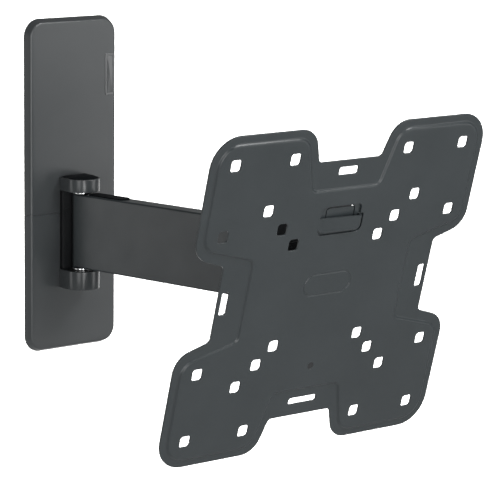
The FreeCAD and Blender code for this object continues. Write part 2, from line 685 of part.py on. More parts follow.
def makeBushes(side, frame):
    """Two nylon bushes in the arm's end, and the steel sleeve between them."""
    bushes = side + "_hinge_bushes"
    deep = armTop + " - bush_long"
    upper = ring(bushes + "_high", "z", "bush_wide", "pin + fit", deep, armTop)
    lower = ring(bushes + "_low", "z", "bush_wide", "pin + fit", "-" + armTop, "-(%s)" % deep)
    settle(group(bushes, upper, lower), bushes, frame)
    sleeve = side + "_hinge_sleeve"
    tube = ring(sleeve, "z", "bush_wide", "pin + 4 * fit", "-(%s)" % deep, deep)
    settle(tube, sleeve, frame)


def makeCableClip():
    """Low strip on top of the arm that traps the cables, held by two pegs."""
    body = newBody("arm_cable_clip")
    half, reach = value("clip_wide / 2"), value("(clip_far - clip_near) / 2")
    plan = tile(0, -value("(clip_far + clip_near) / 2"), half, reach, value("clip_round"))
    pad(body, "clip_strip", traced(body, "clip_plan", "XY", armTop, plan), "clip_rise")
    pegs = pad(body, "clip_pegs", holes(body, "clip_peg_plan", "XY", "rivet", clipPegs, armTop),
               "2 * arm_wall")
    pegs.Reversed = True
    doc.recompute()
    settle(body, "arm_cable_clip", "arm")


# ---- swivel head ----

def makeHeadBracket():
    """The arm's outer clevis: a C of sheet, wide at the web and rounded at its ears."""
    body = newBody("head_bracket")
    web = -value("web_gap + head_sheet")
    wide, ear = value("head_wide"), value("head_ear")
    side, corner, throat = web + value("head_side"), value("head_round"), value("head_throat")
    nearlyHalfRound = ear - 0.01
    plan = [(-wide, web, 0), (wide, web, 0), (wide, side, corner), (ear, 0, throat),
            (ear, ear, nearlyHalfRound), (-ear, ear, nearlyHalfRound), (-ear, 0, throat),
            (-wide, side, corner)]
    pad(body, "head_block", traced(body, "head_plan", "XY", "0", plan), "2 * " + headTop, both=True)
    gap = panel(body, "head_opening", "YZ", "0", ("-web_gap", "2 * head_wide"), ("-head_gap", "head_gap"),
                "bend_inner")
    pocket(body, "head_gap_cut", gap, both=True)
    pocket(body, "head_pin_hole", holes(body, "head_centre", "XY", "pin", [("0", "0")]), both=True)
    pocket(body, "head_rivet_holes", holes(body, "head_rivets", "XZ", "rivet", knucklePegs), both=True)
    settle(body, "head_bracket", "head")


def makeKnuckle():
    """Foot riveted to the head bracket's web, with two lugs for the tilt bolt."""
    front = "-web_gap - head_sheet"
    foot = front + " - yoke_sheet"
    inner = "knuckle_wide - yoke_sheet"
    pieces = [box("knuckle_foot", ("-knuckle_wide", "knuckle_wide"), (foot, front),
                  ("-knuckle_tall", "knuckle_tall"))]
    for side, across in (("left", ("-knuckle_wide", "-(%s)" % inner)), ("right", (inner, "knuckle_wide"))):
        name = "knuckle_%s" % side
        pieces.append(box(name, across, ("-tilt_out", front), ("-knuckle_round", "knuckle_round")))
        pieces.append(rod(name + "_eye", "x", "knuckle_round", across[0], across[1], "-tilt_out"))
    bores = [rod("knuckle_bore", "x", "pin", "-head_wide", "head_wide", "-tilt_out")]
    for index, (across, up) in enumerate(knucklePegs):
        bores.append(rod("knuckle_rivet_%d" % index, "y", "rivet", "-tilt_out", "0", across, up))
    whole = fuse("knuckle_whole", *pieces)
    settle(cut("tilt_knuckle", whole, fuse("knuckle_bores", *bores)), "tilt_knuckle", "head")


def makeKnuckleRivets():
    foot = "-web_gap - head_sheet - yoke_sheet"
    makeRivets("knuckle_rivets", "head", knucklePegs, foot, "-web_gap", foot + " - rivet_rise", foot)


def makeTiltPivot():
    """Cross bolt with its nut, washers, friction discs and spacer."""
    axis = "-tilt_out"
    seat = "(%s + washer_thick)" % stackOut
    shank = rod("tilt_bolt_shank", "x", "pin", "-" + seat, seat + " + hex_tall + bolt_past", axis)
    cap = hexagon("tilt_bolt_head", "x", "-%s - hex_tall" % seat, "-" + seat, axis)
    settle(fuse("tilt_bolt", shank, cap), "tilt_bolt", "head")
    block = hexagon("tilt_nut_block", "x", seat, seat + " + hex_tall", axis)
    thread = rod("tilt_nut_thread", "x", "pin", seat, seat + " + hex_tall", axis)
    settle(cut("tilt_nut", block, thread), "tilt_nut", "head")
    right = ring("tilt_washer_right", "x", "washer_wide", "pin", stackOut, seat, axis)
    left = ring("tilt_washer_left", "x", "washer_wide", "pin", "-" + seat, "-" + stackOut, axis)
    settle(group("tilt_washers", left, right), "tilt_washers", "head")
    right = ring("friction_disc_right", "x", "washer_wide", "pin", "knuckle_wide", discOut, axis)
    left = ring("friction_disc_left", "x", "washer_wide", "pin", "-" + discOut, "-knuckle_wide", axis)
    settle(group("friction_discs", left, right), "friction_discs", "head")
    inner = "knuckle_wide - yoke_sheet"
    spacer = ring("tilt_spacer", "x", "spacer_wide", "pin + fit", "-(%s)" % inner, inner, axis)
    settle(spacer, "tilt_spacer", "head")


# ---- tilting carrier and plate ----

def makeYoke():
    """Carrier behind the plate, with two ears that turn on the tilt bolt."""
    body = newBody("tilt_yoke")
    back = "plate_out - plate_sheet - yoke_sheet"
    wide, tongue = value("yoke_wide"), value("yoke_tongue")
    low, high = value("yoke_low"), value("yoke_high")
    corner, throat = value("yoke_round"), value("yoke_throat")
    right = [(tongue, value("tongue_low"), value("tongue_round")), (tongue, low, throat),
             (wide, low, corner), (wide, high, corner)]
    left = [(-x, y, radius) for x, y, radius in reversed(right)]
    pad(body, "yoke_plate", traced(body, "yoke_outline", "XZ", back, right + left), "yoke_sheet")
    root, tip, up = -value(back) - value("yoke_sheet") / 2, value("ear_tip"), value("ear_root")
    ear = [(root, -up, 0), (tip, -tip, value("ear_round")), (tip, tip, value("ear_round")), (root, up, 0)]
    for side, lift in (("right", yokeIn), ("left", "-" + yokeOut)):
        name = "yoke_ear_" + side
        pad(body, name, traced(body, name + "_profile", "YZ", lift, ear), "yoke_sheet")
    pocket(body, "yoke_bolt_holes", holes(body, "yoke_axis", "YZ", "pin + fit", [("0", "0")]), both=True)
    lock = [("0", "-plate_drop - lock_low")]
    pocket(body, "yoke_lock_hole", holes(body, "yoke_lock", "XZ", "rivet", lock), both=True)
    wide, root, free = value("tab_wide"), value("tab_low"), value("tab_high")
    slit, inner = value("tab_slit"), value("tab_round")
    corner = inner + slit
    slot = [(wide + slit, root, 0), (wide + slit, free + slit, corner), (-wide - slit, free + slit, corner),
            (-wide - slit, root, 0), (-wide, root, 0), (-wide, free, inner), (wide, free, inner),
            (wide, root, 0)]
    pocket(body, "yoke_tab_slit", traced(body, "tab_slit_outline", "XZ", "plate_out", slot))
    settle(body, "tilt_yoke", "tilt")


def plateOutline(half, notchTop, notchSide, notchHalf, lean, corner, opening, inner):
    """Square with a notch in each side, about the plate's own middle, anticlockwise."""
    slope = math.tan(math.radians(lean))
    sideMouth = notchHalf + (half - notchSide) * slope
    topMouth = notchHalf + (half - notchTop) * slope
    quarter = [(notchSide, notchHalf, inner), (half, sideMouth, opening), (half, half, corner),
               (topMouth, half, opening), (notchHalf, notchTop, inner)]
    upper = quarter + [(-x, y, radius) for x, y, radius in reversed(quarter)]
    whole = upper + [(-x, -y, radius) for x, y, radius in upper]
    drop = value("plate_drop")
    return [(x, y - drop, radius) for x, y, radius in whole]


def cup(wide, low, high, radius):
    """Corners of a shape rounded below and cut square above."""
    return [(-wide, low, radius), (wide, low, radius), (wide, high, 0), (-wide, high, 0)]


def makePlate():
    """Stamped plate: a rim, a raised middle, fixing holes, tie slots, a window and its hood."""
    body = newBody("tv_plate")
    rim = plateOutline(*map(value, ("plate_half", "notch_top", "notch_side", "notch_half", "notch_lean",
                                    "lobe_round", "notch_round", "notch_inner")))
    middle = plateOutline(*map(value, ("middle_half", "middle_top", "middle_side", "middle_notch",
                                       "middle_lean", "middle_round", "middle_open", "middle_inner")))
    run = value("rise_run")
    within = value("plate_sheet") * 0.6  # how much smaller the hollow behind the raised middle is
    back = "plate_out - plate_rise - plate_sheet"
    pad(body, "plate_rim", traced(body, "rim_outline", "XZ", back, rim), "plate_sheet")
    low = traced(body, "rise_foot", "XZ", "plate_out - plate_rise", middle)
    high = traced(body, "rise_top", "XZ", "plate_out", inward(middle, run))
    loft(body, "plate_rise", "AdditiveLoft", low, high)
    low = traced(body, "hollow_foot", "XZ", back, inward(middle, within))
    high = traced(body, "hollow_top", "XZ", "plate_out - plate_sheet", inward(middle, run + within))
    loft(body, "plate_hollow", "SubtractiveLoft", low, high)

    drop = value("plate_drop")
    bottom, top = value("hood_low") - drop, value("hood_high") - drop
    low = traced(body, "hood_foot", "XZ", "plate_out - plate_sheet / 2",
                 cup(value("hood_wide"), bottom, top, value("hood_round")))
    high = traced(body, "hood_top", "XZ", "plate_out + hood_rise",
                  cup(value("hood_wide") - run, bottom + run, top, value("hood_round") - run))
    loft(body, "plate_hood", "AdditiveLoft", low, high)
    deep = traced(body, "hood_scoop", "XZ", "plate_out + hood_rise - plate_sheet * 2 / 3",
                  cup(value("hood_wide") - 2 * run, bottom + 2 * run, top + run, value("scoop_round")))
    pocket(body, "hood_hollow", deep, "hood_rise + 2 * plate_sheet")
    wide, bottom, top = value("window_wide"), top, value("window_high") - drop
    rise = value("window_round")
    window = [(-wide, bottom, 0), (wide, bottom, 0), (wide, top, rise), (-wide, top, rise)]
    front = "plate_out + 2 * hood_rise"
    pocket(body, "plate_window", traced(body, "window_outline", "XZ", front, window))

    outer, inner, small, extra = map(value, ("vesa_outer", "vesa_inner", "vesa_small", "vesa_extra"))
    places = [(outer, outer), (inner, outer), (outer, inner), (extra, extra), (inner, inner), (small, small)]
    half, corner = value("square_wide / 2"), value("square_round")
    squares = [tile(x * across, y * up - drop, half, half, corner)
               for x, y in places for across in (1, -1) for up in (1, -1)]
    pocket(body, "plate_squares", traced(body, "square_outlines", "XZ", front, *squares))
    long, thin, side = value("tie_long / 2"), value("tie_wide / 2"), value("tie_side")
    corner = value("tie_round")
    slots = [tile(0, value("tie_top") - drop, long, thin, corner),
             tile(side, -drop, thin, long, corner), tile(-side, -drop, thin, long, corner),
             tile(0, -value("tie_low") - drop, value("tie_low_long / 2"), value("tie_low_wide / 2"), corner)]
    pocket(body, "plate_slots", traced(body, "slot_outlines_front", "XZ", front, *slots))
    lock = [("0", "-plate_drop - lock_low")]
    pocket(body, "plate_lock_hole", holes(body, "plate_lock", "XZ", "rivet", lock, front))
    settle(body, "tv_plate", "tilt")


def makeLockScrew():
    """Driven from behind, through the yoke's lower tongue into the plate."""
    up = "-plate_drop - lock_low"
    back = "-plate_out + plate_sheet + yoke_sheet"
    shank = rod("lock_shank", "y", "rivet", "-plate_out + lock_sunk", back, "0", up)
    head = rod("lock_cap", "y", "lock_head", back, back + " + lock_tall", "0", up)
    settle(fuse("lock_screw", shank, head), "lock_screw", "tilt")


# ---- the whole mount ----

clipPegs = [("0", "-clip_near - clip_peg"), ("0", "-clip_far + clip_peg")]
hingePegs = [(side + "peg_side", step + "peg_up") for side in ("", "-") for step in ("", "-")]
knucklePegs = [(side + "knuckle_peg_side", step + "knuckle_peg_up")
               for side in ("", "-") for step in ("", "-")]

makeWallBracket()
makeHingeBracket()
makeBracketRivets()
makeCover("upper_cover", True)
makeCover("lower_cover", False)
makeBadge()
makeNoseCap("upper_nose_cap", noseTop + " - cap_thick", "cap_thick + cap_rise", True)
makeNoseCap("lower_nose_cap", "-" + noseFoot, "cap_thick", False)
makePivot("wall", "hinge", earTop, "hinge_gap", False)
makeArmTube()
makeEndCap("wall_end_cap", "arm")
makeEndCap("tv_end_cap", "tip")
makeBushes("wall", "arm")
makeBushes("tv", "tip")
makeCableClip()
makeHeadBracket()
makePivot("tv", "head", headTop, "head_gap", True)
makeKnuckle()
makeKnuckleRivets()
makeTiltPivot()
makeYoke()
makePlate()
makeLockScrew()
doc.recompute()

# Nothing is written unless every feature worked and every piece is sound.
for item in doc.Objects:
    if "Invalid" in item.State or "Error" in item.State:
        raise RuntimeError("feature failed: " + item.Name)
for item in subparts:
    if item.Shape.isNull() or not item.Shape.isValid() or not item.Shape.Solids:
        raise RuntimeError("unsound piece: " + item.Label)

os.makedirs("parts", exist_ok=True)
for item in subparts:
    item.Shape.exportStep("parts/%s.step" % item.Label)
    bounds = item.Shape.BoundBox
    print("%-20s solids %d volume %9.1f  x %.1f..%.1f y %.1f..%.1f z %.1f..%.1f" % (
        item.Label, len(item.Shape.Solids), item.Shape.Volume, bounds.XMin, bounds.XMax,
        bounds.YMin, bounds.YMax, bounds.ZMin, bounds.ZMax))
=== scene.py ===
import json
import math

import bmesh
import bpy
import numpy as np
from mathutils import Matrix, Vector
from mathutils.geometry import delaunay_2d_cdt

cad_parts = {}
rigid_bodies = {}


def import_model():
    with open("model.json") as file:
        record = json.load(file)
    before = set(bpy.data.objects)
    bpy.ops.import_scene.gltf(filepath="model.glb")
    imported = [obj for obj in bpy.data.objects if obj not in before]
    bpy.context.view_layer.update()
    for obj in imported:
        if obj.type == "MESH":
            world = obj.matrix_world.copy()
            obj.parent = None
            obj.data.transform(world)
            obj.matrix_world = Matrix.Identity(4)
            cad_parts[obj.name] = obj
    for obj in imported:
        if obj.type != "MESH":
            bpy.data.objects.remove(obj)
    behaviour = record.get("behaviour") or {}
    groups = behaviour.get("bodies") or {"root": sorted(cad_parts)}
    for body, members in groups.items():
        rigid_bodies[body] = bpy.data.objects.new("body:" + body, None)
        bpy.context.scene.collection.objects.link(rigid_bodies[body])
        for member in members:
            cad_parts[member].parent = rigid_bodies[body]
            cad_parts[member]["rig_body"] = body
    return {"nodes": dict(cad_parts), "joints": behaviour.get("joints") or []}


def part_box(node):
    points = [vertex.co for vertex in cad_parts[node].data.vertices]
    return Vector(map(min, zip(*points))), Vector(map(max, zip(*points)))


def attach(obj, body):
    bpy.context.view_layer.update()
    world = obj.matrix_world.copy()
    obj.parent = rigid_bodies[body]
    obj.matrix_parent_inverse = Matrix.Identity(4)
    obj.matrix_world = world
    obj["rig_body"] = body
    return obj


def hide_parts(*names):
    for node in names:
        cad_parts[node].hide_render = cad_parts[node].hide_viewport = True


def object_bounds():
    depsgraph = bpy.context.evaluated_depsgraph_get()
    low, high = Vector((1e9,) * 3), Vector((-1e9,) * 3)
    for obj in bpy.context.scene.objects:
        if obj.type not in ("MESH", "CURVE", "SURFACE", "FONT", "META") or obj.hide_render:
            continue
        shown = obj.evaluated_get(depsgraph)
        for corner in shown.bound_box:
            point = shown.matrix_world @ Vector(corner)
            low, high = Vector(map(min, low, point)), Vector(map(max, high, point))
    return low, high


# Folding wall mount for a television. The mount's sizes are in millimetres. The camera, the lamps, the
# room and the finished meshes are in metres.

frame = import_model()
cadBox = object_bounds()
mm = 0.001
scene = bpy.context.scene
joints = {joint["name"]: np.array(joint["pos_m"]) / mm for joint in frame["joints"]}

camera = {"place": (-1.11151, -1.58147, 0.30456), "aim": (0.0003, -0.21376, -0.01818),
          "roll": 0.71, "lens": 189.7, "sensor": 36}
room = {"floorDrop": 0.90, "floorSize": 60, "floorShade": 0.93, "floorGlow": 0.75, "skyLight": 0.24}
# name: place, aim, width, height, watts, spread in degrees
lamps = {
    "keyLight": ((1.4, -1.85, -0.05), (0.0, -0.15, 0.0), 1.5, 1.5, 14, 180),
    "stripLight": ((-0.6, -2.2, 0.0), (0.0, -0.1, 0.0), 1.0, 1.5, 29, 180),
    "topLight": ((0.35, -0.75, 0.65), (0.03, -0.2, 0.0), 0.35, 0.35, 6.5, 180),
    "fillLight": ((-1.9, -1.3, 0.1), (0.0, -0.05, 0.0), 0.9, 1.4, 9, 180),
    "sideLight": ((-2.0, 1.15, -0.1), (0.0, -0.1, 0.0), 1.3, 1.4, 9, 180),
    "floorLight": ((5.6, 6.6, 1.4), (5.6, 6.6, -2.0), 10.0, 11.0, 600, 70),
}


def aimAt(piece, place, target, roll=0):
    """Stands at place and looks at target, turned by roll degrees about the line of sight."""
    sight = Vector(target) - Vector(place)
    turn = sight.to_track_quat("-Z", "Y").to_matrix() @ Matrix.Rotation(math.radians(roll), 3, "Z")
    piece.matrix_world = Matrix.Translation(place) @ turn.to_4x4()


def ranged(tree, value, start, stop, low, high):
    """Map Range node that takes start to low and stop to high."""
    node = tree.nodes.new("ShaderNodeMapRange")
    for word, number in (("From Min", start), ("From Max", stop), ("To Min", low), ("To Max", high)):
        node.inputs[word].default_value = number
    tree.links.new(value, node.inputs["Value"])
    return node.outputs["Result"]


def mathNode(tree, kind, first, second):
    """Math node on a socket and a socket or number."""
    node = tree.nodes.new("ShaderNodeMath")
    node.operation = kind
    tree.links.new(first, node.inputs[0])
    if isinstance(second, (int, float)):
        node.inputs[1].default_value = second
    else:
        tree.links.new(second, node.inputs[1])
    return node.outputs[0]


def makeCamera():
    data = bpy.data.cameras.new("studioCamera")
    data.lens, data.sensor_width = camera["lens"], camera["sensor"]
    data.clip_end = 100
    view = bpy.data.objects.new("studioCamera", data)
    scene.collection.objects.link(view)
    aimAt(view, camera["place"], camera["aim"], camera["roll"])
    scene.camera = view


def makeLamps():
    for name, (place, target, wide, tall, watts, spread) in lamps.items():
        data = bpy.data.lights.new(name, "AREA")
        data.shape, data.size, data.size_y, data.energy = "RECTANGLE", wide, tall, watts
        data.spread = math.radians(spread)
        lamp = bpy.data.objects.new(name, data)
        scene.collection.objects.link(lamp)
        aimAt(lamp, place, target)


def makeWorld():
    """White behind everything, and a dimmer white for the light that it gives."""
    world = bpy.data.worlds.new("paleRoom")
    world.use_nodes = True
    tree = world.node_tree
    back = tree.nodes["Background"]
    back.inputs["Color"].default_value = (1, 1, 1, 1)
    seen = tree.nodes.new("ShaderNodeLightPath")
    level = ranged(tree, seen.outputs["Is Camera Ray"], 0, 1, room["skyLight"], 1)
    tree.links.new(level, back.inputs["Strength"])
    scene.world = world
    scene.view_settings.view_transform = "Standard"


def makeFloor():
    """Pale floor with a glow that shows but lights nothing, so it is pale from every side."""
    half = room["floorSize"] / 2
    level = cadBox[0][2] - room["floorDrop"]
    corners = [(-half, -half, level), (half, -half, level), (half, half, level), (-half, half, level)]
    mesh = bpy.data.meshes.new("floor")
    mesh.from_pydata(corners, [], [(0, 1, 2, 3)])
    floor = bpy.data.objects.new("floor", mesh)
    scene.collection.objects.link(floor)
    paint = bpy.data.materials.new("paleFloor")
    paint.use_nodes = True
    tree = paint.node_tree
    coat = tree.nodes["Principled BSDF"]
    shade = room["floorShade"]
    coat.inputs["Base Color"].default_value = (shade, shade, shade, 1)
    coat.inputs["Emission Color"].default_value = (1, 1, 1, 1)
    seen = tree.nodes.new("ShaderNodeLightPath")
    glow = mathNode(tree, "MULTIPLY", seen.outputs["Is Camera Ray"], room["floorGlow"])
    tree.links.new(glow, coat.inputs["Emission Strength"])
    coat.inputs["Roughness"].default_value = 0.9
    coat.inputs["Specular IOR Level"].default_value = 0.1
    mesh.materials.append(paint)


makeCamera()
makeLamps()
makeWorld()
makeFloor()
print("stage ready")

# each finish: dark and light colour, least and most roughness, size and depth of the grain in mm, and
# what is set straight on the shader; "polish" is the share of the roughness left on the covers' noses
finishes = {
    "coated_steel": {
        "dark": (0.0195, 0.0243, 0.0263), "light": (0.0252, 0.0305, 0.0330),
        "rough": (0.28, 0.35), "grain": 0.55, "deep": 0.006, "set": {"Specular IOR Level": 0.36}},
    "black_steel": {
        "dark": (0.008, 0.009, 0.010), "light": (0.014, 0.015, 0.016),
        "rough": (0.38, 0.50), "grain": 0.5, "deep": 0.010, "set": {"Specular IOR Level": 0.35}},
    "cover_plastic": {
        "dark": (0.032, 0.036, 0.038), "light": (0.038, 0.042, 0.044),
        "rough": (0.31, 0.36), "grain": 0.35, "deep": 0.003, "polish": 0.72,
        "set": {"Specular IOR Level": 0.5}},
    "badge_plastic": {
        "dark": (0.055, 0.058, 0.060), "light": (0.062, 0.066, 0.068),
        "rough": (0.22, 0.28), "grain": 0.8, "deep": 0.002,
        "set": {"Coat Weight": 0.3, "Coat Roughness": 0.15}},
    "black_plastic": {
        "dark": (0.002, 0.003, 0.004), "light": (0.004, 0.005, 0.006),
        "rough": (0.5, 0.6), "grain": 0.4, "deep": 0.010, "set": {"Specular IOR Level": 0.06}},
    "bush_nylon": {
        "dark": (0.50, 0.49, 0.44), "light": (0.62, 0.61, 0.56),
        "rough": (0.38, 0.5), "grain": 0.9, "deep": 0.006,
        "set": {"Subsurface Weight": 0.15, "Subsurface Scale": 0.001}},
}
metals = {
    "bright_chrome": {
        "dark": (0.78, 0.79, 0.80), "light": (0.90, 0.91, 0.92),
        "rough": (0.05, 0.13), "grain": 0.25, "deep": 0.001},
    "zinc_steel": {
        "dark": (0.42, 0.43, 0.43), "light": (0.63, 0.63, 0.61),
        "rough": (0.24, 0.40), "grain": 0.45, "deep": 0.006},
}

# the ends that noise is stretched from, because it keeps near the middle, and the strength of the grain
masks = {"least": 0.3, "most": 0.7, "bump": 0.6}
maskSockets = [("Height", "NodeSocketFloat"), ("Shade", "NodeSocketFloat"), ("Gloss", "NodeSocketFloat")]
# the noses' polish begins and is full this far out of the wall, in metres
noseStart, noseFull = -0.007, -0.008


def newGroup(name, inputs, outputs):
    """Empty shader group with named sockets: name, kind and starting value."""
    group = bpy.data.node_groups.new(name, "ShaderNodeTree")
    for word, kind, start in inputs:
        socket = group.interface.new_socket(word, in_out="INPUT", socket_type=kind)
        if start is not None:
            socket.default_value = start
    for word, kind in outputs:
        group.interface.new_socket(word, in_out="OUTPUT", socket_type=kind)
    return group, group.nodes.new("NodeGroupInput"), group.nodes.new("NodeGroupOutput")


def noise(tree, where, size, detail, rough=0.5):
    """Noise texture node whose size comes from a socket or is a number per metre."""
    node = tree.nodes.new("ShaderNodeTexNoise")
    node.inputs["Detail"].default_value = detail
    node.inputs["Roughness"].default_value = rough
    tree.links.new(where, node.inputs["Vector"])
    if isinstance(size, (int, float)):
        node.inputs["Scale"].default_value = size
    else:
        tree.links.new(size, node.inputs["Scale"])
    return node.outputs["Fac"]


def makeCoatGroup():
    """Sprayed or moulded skin: a fine orange peel as height, slow clouds of shade, and specks of dust."""
    group, inside, out = newGroup(
        "skinGrain",
        [("Place", "NodeSocketVector", None), ("Grain", "NodeSocketFloat", 2000.0),
         ("Cloud", "NodeSocketFloat", 22.0)], maskSockets)
    place, grain, cloud = (inside.outputs[word] for word in ("Place", "Grain", "Cloud"))
    peel = noise(group, place, grain, 2.0)
    ripple = noise(group, place, mathNode(group, "MULTIPLY", grain, 0.31), 3.0)
    rough = mathNode(group, "ADD", peel, mathNode(group, "MULTIPLY", ripple, 0.8))
    group.links.new(rough, out.inputs["Height"])
    slow = noise(group, place, cloud, 4.0, 0.55)
    speck = noise(group, place, mathNode(group, "MULTIPLY", grain, 0.55), 2.0, 0.7)
    blend = mathNode(group, "ADD", mathNode(group, "MULTIPLY", slow, 0.75),
                     mathNode(group, "MULTIPLY", speck, 0.25))
    group.links.new(blend, out.inputs["Shade"])
    smear = noise(group, place, mathNode(group, "MULTIPLY", cloud, 2.3), 5.0, 0.62)
    group.links.new(smear, out.inputs["Gloss"])
    return group


def makeTurnedGroup():
    """Turned and plated metal: fine rings along one axis as height, with cloudy plating."""
    group, inside, out = newGroup(
        "turnedMarks",
        [("Place", "NodeSocketVector", None), ("Grain", "NodeSocketFloat", 2500.0),
         ("Cloud", "NodeSocketFloat", 160.0)], maskSockets)
    place, grain, cloud = (inside.outputs[word] for word in ("Place", "Grain", "Cloud"))
    stretch = group.nodes.new("ShaderNodeMapping")
    stretch.inputs["Scale"].default_value = (0.12, 0.12, 1.0)
    group.links.new(place, stretch.inputs["Vector"])
    rings = noise(group, stretch.outputs["Vector"], grain, 2.0)
    group.links.new(rings, out.inputs["Height"])
    plating = noise(group, place, cloud, 4.0, 0.6)
    group.links.new(plating, out.inputs["Shade"])
    smear = mathNode(group, "MULTIPLY", mathNode(group, "ADD", rings, noise(group, place, cloud, 3.0)), 0.5)
    group.links.new(smear, out.inputs["Gloss"])
    return group


def makeFinish(name, values, group, metallic):
    """Principled shader whose colour and roughness run between two ends with the group's masks."""
    paint = bpy.data.materials.new(name)
    paint.use_nodes = True
    tree = paint.node_tree
    shader = tree.nodes["Principled BSDF"]
    shader.inputs["Metallic"].default_value = metallic
    for word, number in values.get("set", {}).items():
        shader.inputs[word].default_value = number
    marks = tree.nodes.new("ShaderNodeGroup")
    marks.node_tree = group
    marks.inputs["Grain"].default_value = 1 / (values["grain"] * mm)
    where = tree.nodes.new("ShaderNodeTexCoord")
    tree.links.new(where.outputs["Object"], marks.inputs["Place"])
    ends = masks["least"], masks["most"]
    mix = tree.nodes.new("ShaderNodeMix")
    mix.data_type = "RGBA"
    mix.inputs["A"].default_value = (*values["dark"], 1)
    mix.inputs["B"].default_value = (*values["light"], 1)
    tree.links.new(ranged(tree, marks.outputs["Shade"], *ends, 0, 1), mix.inputs["Factor"])
    tree.links.new(mix.outputs["Result"], shader.inputs["Base Color"])
    rough = ranged(tree, marks.outputs["Gloss"], *ends, *values["rough"])
    if "polish" in values:
        apart = tree.nodes.new("ShaderNodeSeparateXYZ")
        tree.links.new(where.outputs["Object"], apart.inputs["Vector"])
        share = ranged(tree, apart.outputs["Y"], noseFull, noseStart, values["polish"], 1)
        rough = mathNode(tree, "MULTIPLY", rough, share)
    tree.links.new(rough, shader.inputs["Roughness"])
    bump = tree.nodes.new("ShaderNodeBump")
    bump.inputs["Strength"].default_value = masks["bump"]
    bump.inputs["Distance"].default_value = values["deep"] * mm
    tree.links.new(marks.outputs["Height"], bump.inputs["Height"])
    tree.links.new(bump.outputs["Normal"], shader.inputs["Normal"])
    return paint


skinGrain, turnedMarks = makeCoatGroup(), makeTurnedGroup()
paints = {name: makeFinish(name, values, skinGrain, 0) for name, values in finishes.items()}
paints.update({name: makeFinish(name, values, turnedMarks, 1) for name, values in metals.items()})

# a CAD node comes with a plain material named after its slot, and gets the real finish
slotOf = {name: node.material_slots[0].material.name.split(".")[0]
          for name, node in frame["nodes"].items()}
for name, node in frame["nodes"].items():
    node.material_slots[0].material = paints["badge_plastic" if name == "cover_badge" else slotOf[name]]
print("materials ready:", len(paints))


def sideways(flow):
    """Each direction turned a quarter to the left."""
    return np.stack([-flow[..., 1], flow[..., 0]], -1)


def flows(point):
    """Unit directions into and out of each corner of a closed outline."""
    into = point - np.roll(point, 1, 0)
    into = into / np.linalg.norm(into, axis=1, keepdims=True)
    return into, np.roll(into, -1, 0)


def roundedPath(corners, steps=6):
    """Points round an anticlockwise outline of (across, up, radius) corners. Each corner is an arc
    that touches both of its sides, so its centre stands one radius in from each."""
    table = np.array(corners, float)
    radius = table[:, 2:3]
    into, out = flows(table[:, :2])
    turn = np.arctan2(into[:, 0] * out[:, 1] - into[:, 1] * out[:, 0], (into * out).sum(1))[:, None]
    inner = sideways(into) * np.sign(turn)
    centre = table[:, :2] - into * radius * np.tan(abs(turn) / 2) + inner * radius
    spoke = (-inner * radius)[:, None, :]
    sweep = (turn * np.linspace(0, 1, steps + 1))[..., None]
    return (centre[:, None, :] + spoke * np.cos(sweep) + sideways(spoke) * np.sin(sweep)).reshape(-1, 2)


def moved(corners, inset):
    """The same outline with every side moved in by inset. Outward corners lose that much radius and
    inward ones gain it."""
    table = np.array(corners, float)
    into, out = flows(table[:, :2])
    left, right = sideways(into), sideways(out)
    shift = (left + right) * inset / (1 + (left * right).sum(1, keepdims=True))
    bend = np.sign(into[:, 0] * out[:, 1] - into[:, 1] * out[:, 0])
    radius = np.maximum(table[:, 2] - bend * inset, 0.02)
    return np.column_stack([table[:, :2] + shift, radius])


def tile(across, up, wide, tall, radius):
    """Corners of a rounded rectangle about a middle point."""
    return [(across - wide, up - tall, radius), (across + wide, up - tall, radius),
            (across + wide, up + tall, radius), (across - wide, up + tall, radius)]


def ringsOf(corners, profile, steps=6):
    """A profile of (inset, height) pairs carried along an outline: one ring for each pair."""
    paths = [(roundedPath(moved(corners, inset), steps), height) for inset, height in profile]
    return np.stack([np.column_stack([path, np.full(len(path), height)]) for path, height in paths])


def quarter(radius, count=4):
    """Quarter circle from flat on top to straight down, as (distance in from the edge, drop)."""
    angle = np.linspace(0, math.pi / 2, count + 1)
    return np.column_stack([radius * (1 - np.sin(angle)), radius * (1 - np.cos(angle))])


def fillBetween(loops):
    """Triangles of the flat ground between outlines: those whose middle is inside an odd number."""
    point = np.concatenate(loops)
    starts = np.cumsum([0] + [len(loop) for loop in loops[:-1]])
    orders = [np.arange(len(loop)) for loop in loops]
    edge = np.concatenate([np.column_stack([order, np.roll(order, -1)]) + start
                           for order, start in zip(orders, starts)])
    found = delaunay_2d_cdt([Vector(p) for p in point], edge.tolist(), [], 0, 1e-7)
    flat = np.array([tuple(p) for p in found[0]])
    face = np.array(found[2])
    middle = flat[face].mean(1)[:, None, :]
    a, b = point[edge[:, 0]][None], point[edge[:, 1]][None]
    rise = np.where(a[..., 1] == b[..., 1], 1e-12, b[..., 1] - a[..., 1])
    at = a[..., 0] + (b[..., 0] - a[..., 0]) * (middle[..., 1] - a[..., 1]) / rise
    crossed = ((a[..., 1] > middle[..., 1]) != (b[..., 1] > middle[..., 1])) & (middle[..., 0] < at)
    return flat, face[crossed.sum(1) % 2 == 1]


# points nearer than this many millimetres become one
weldGap = 0.002


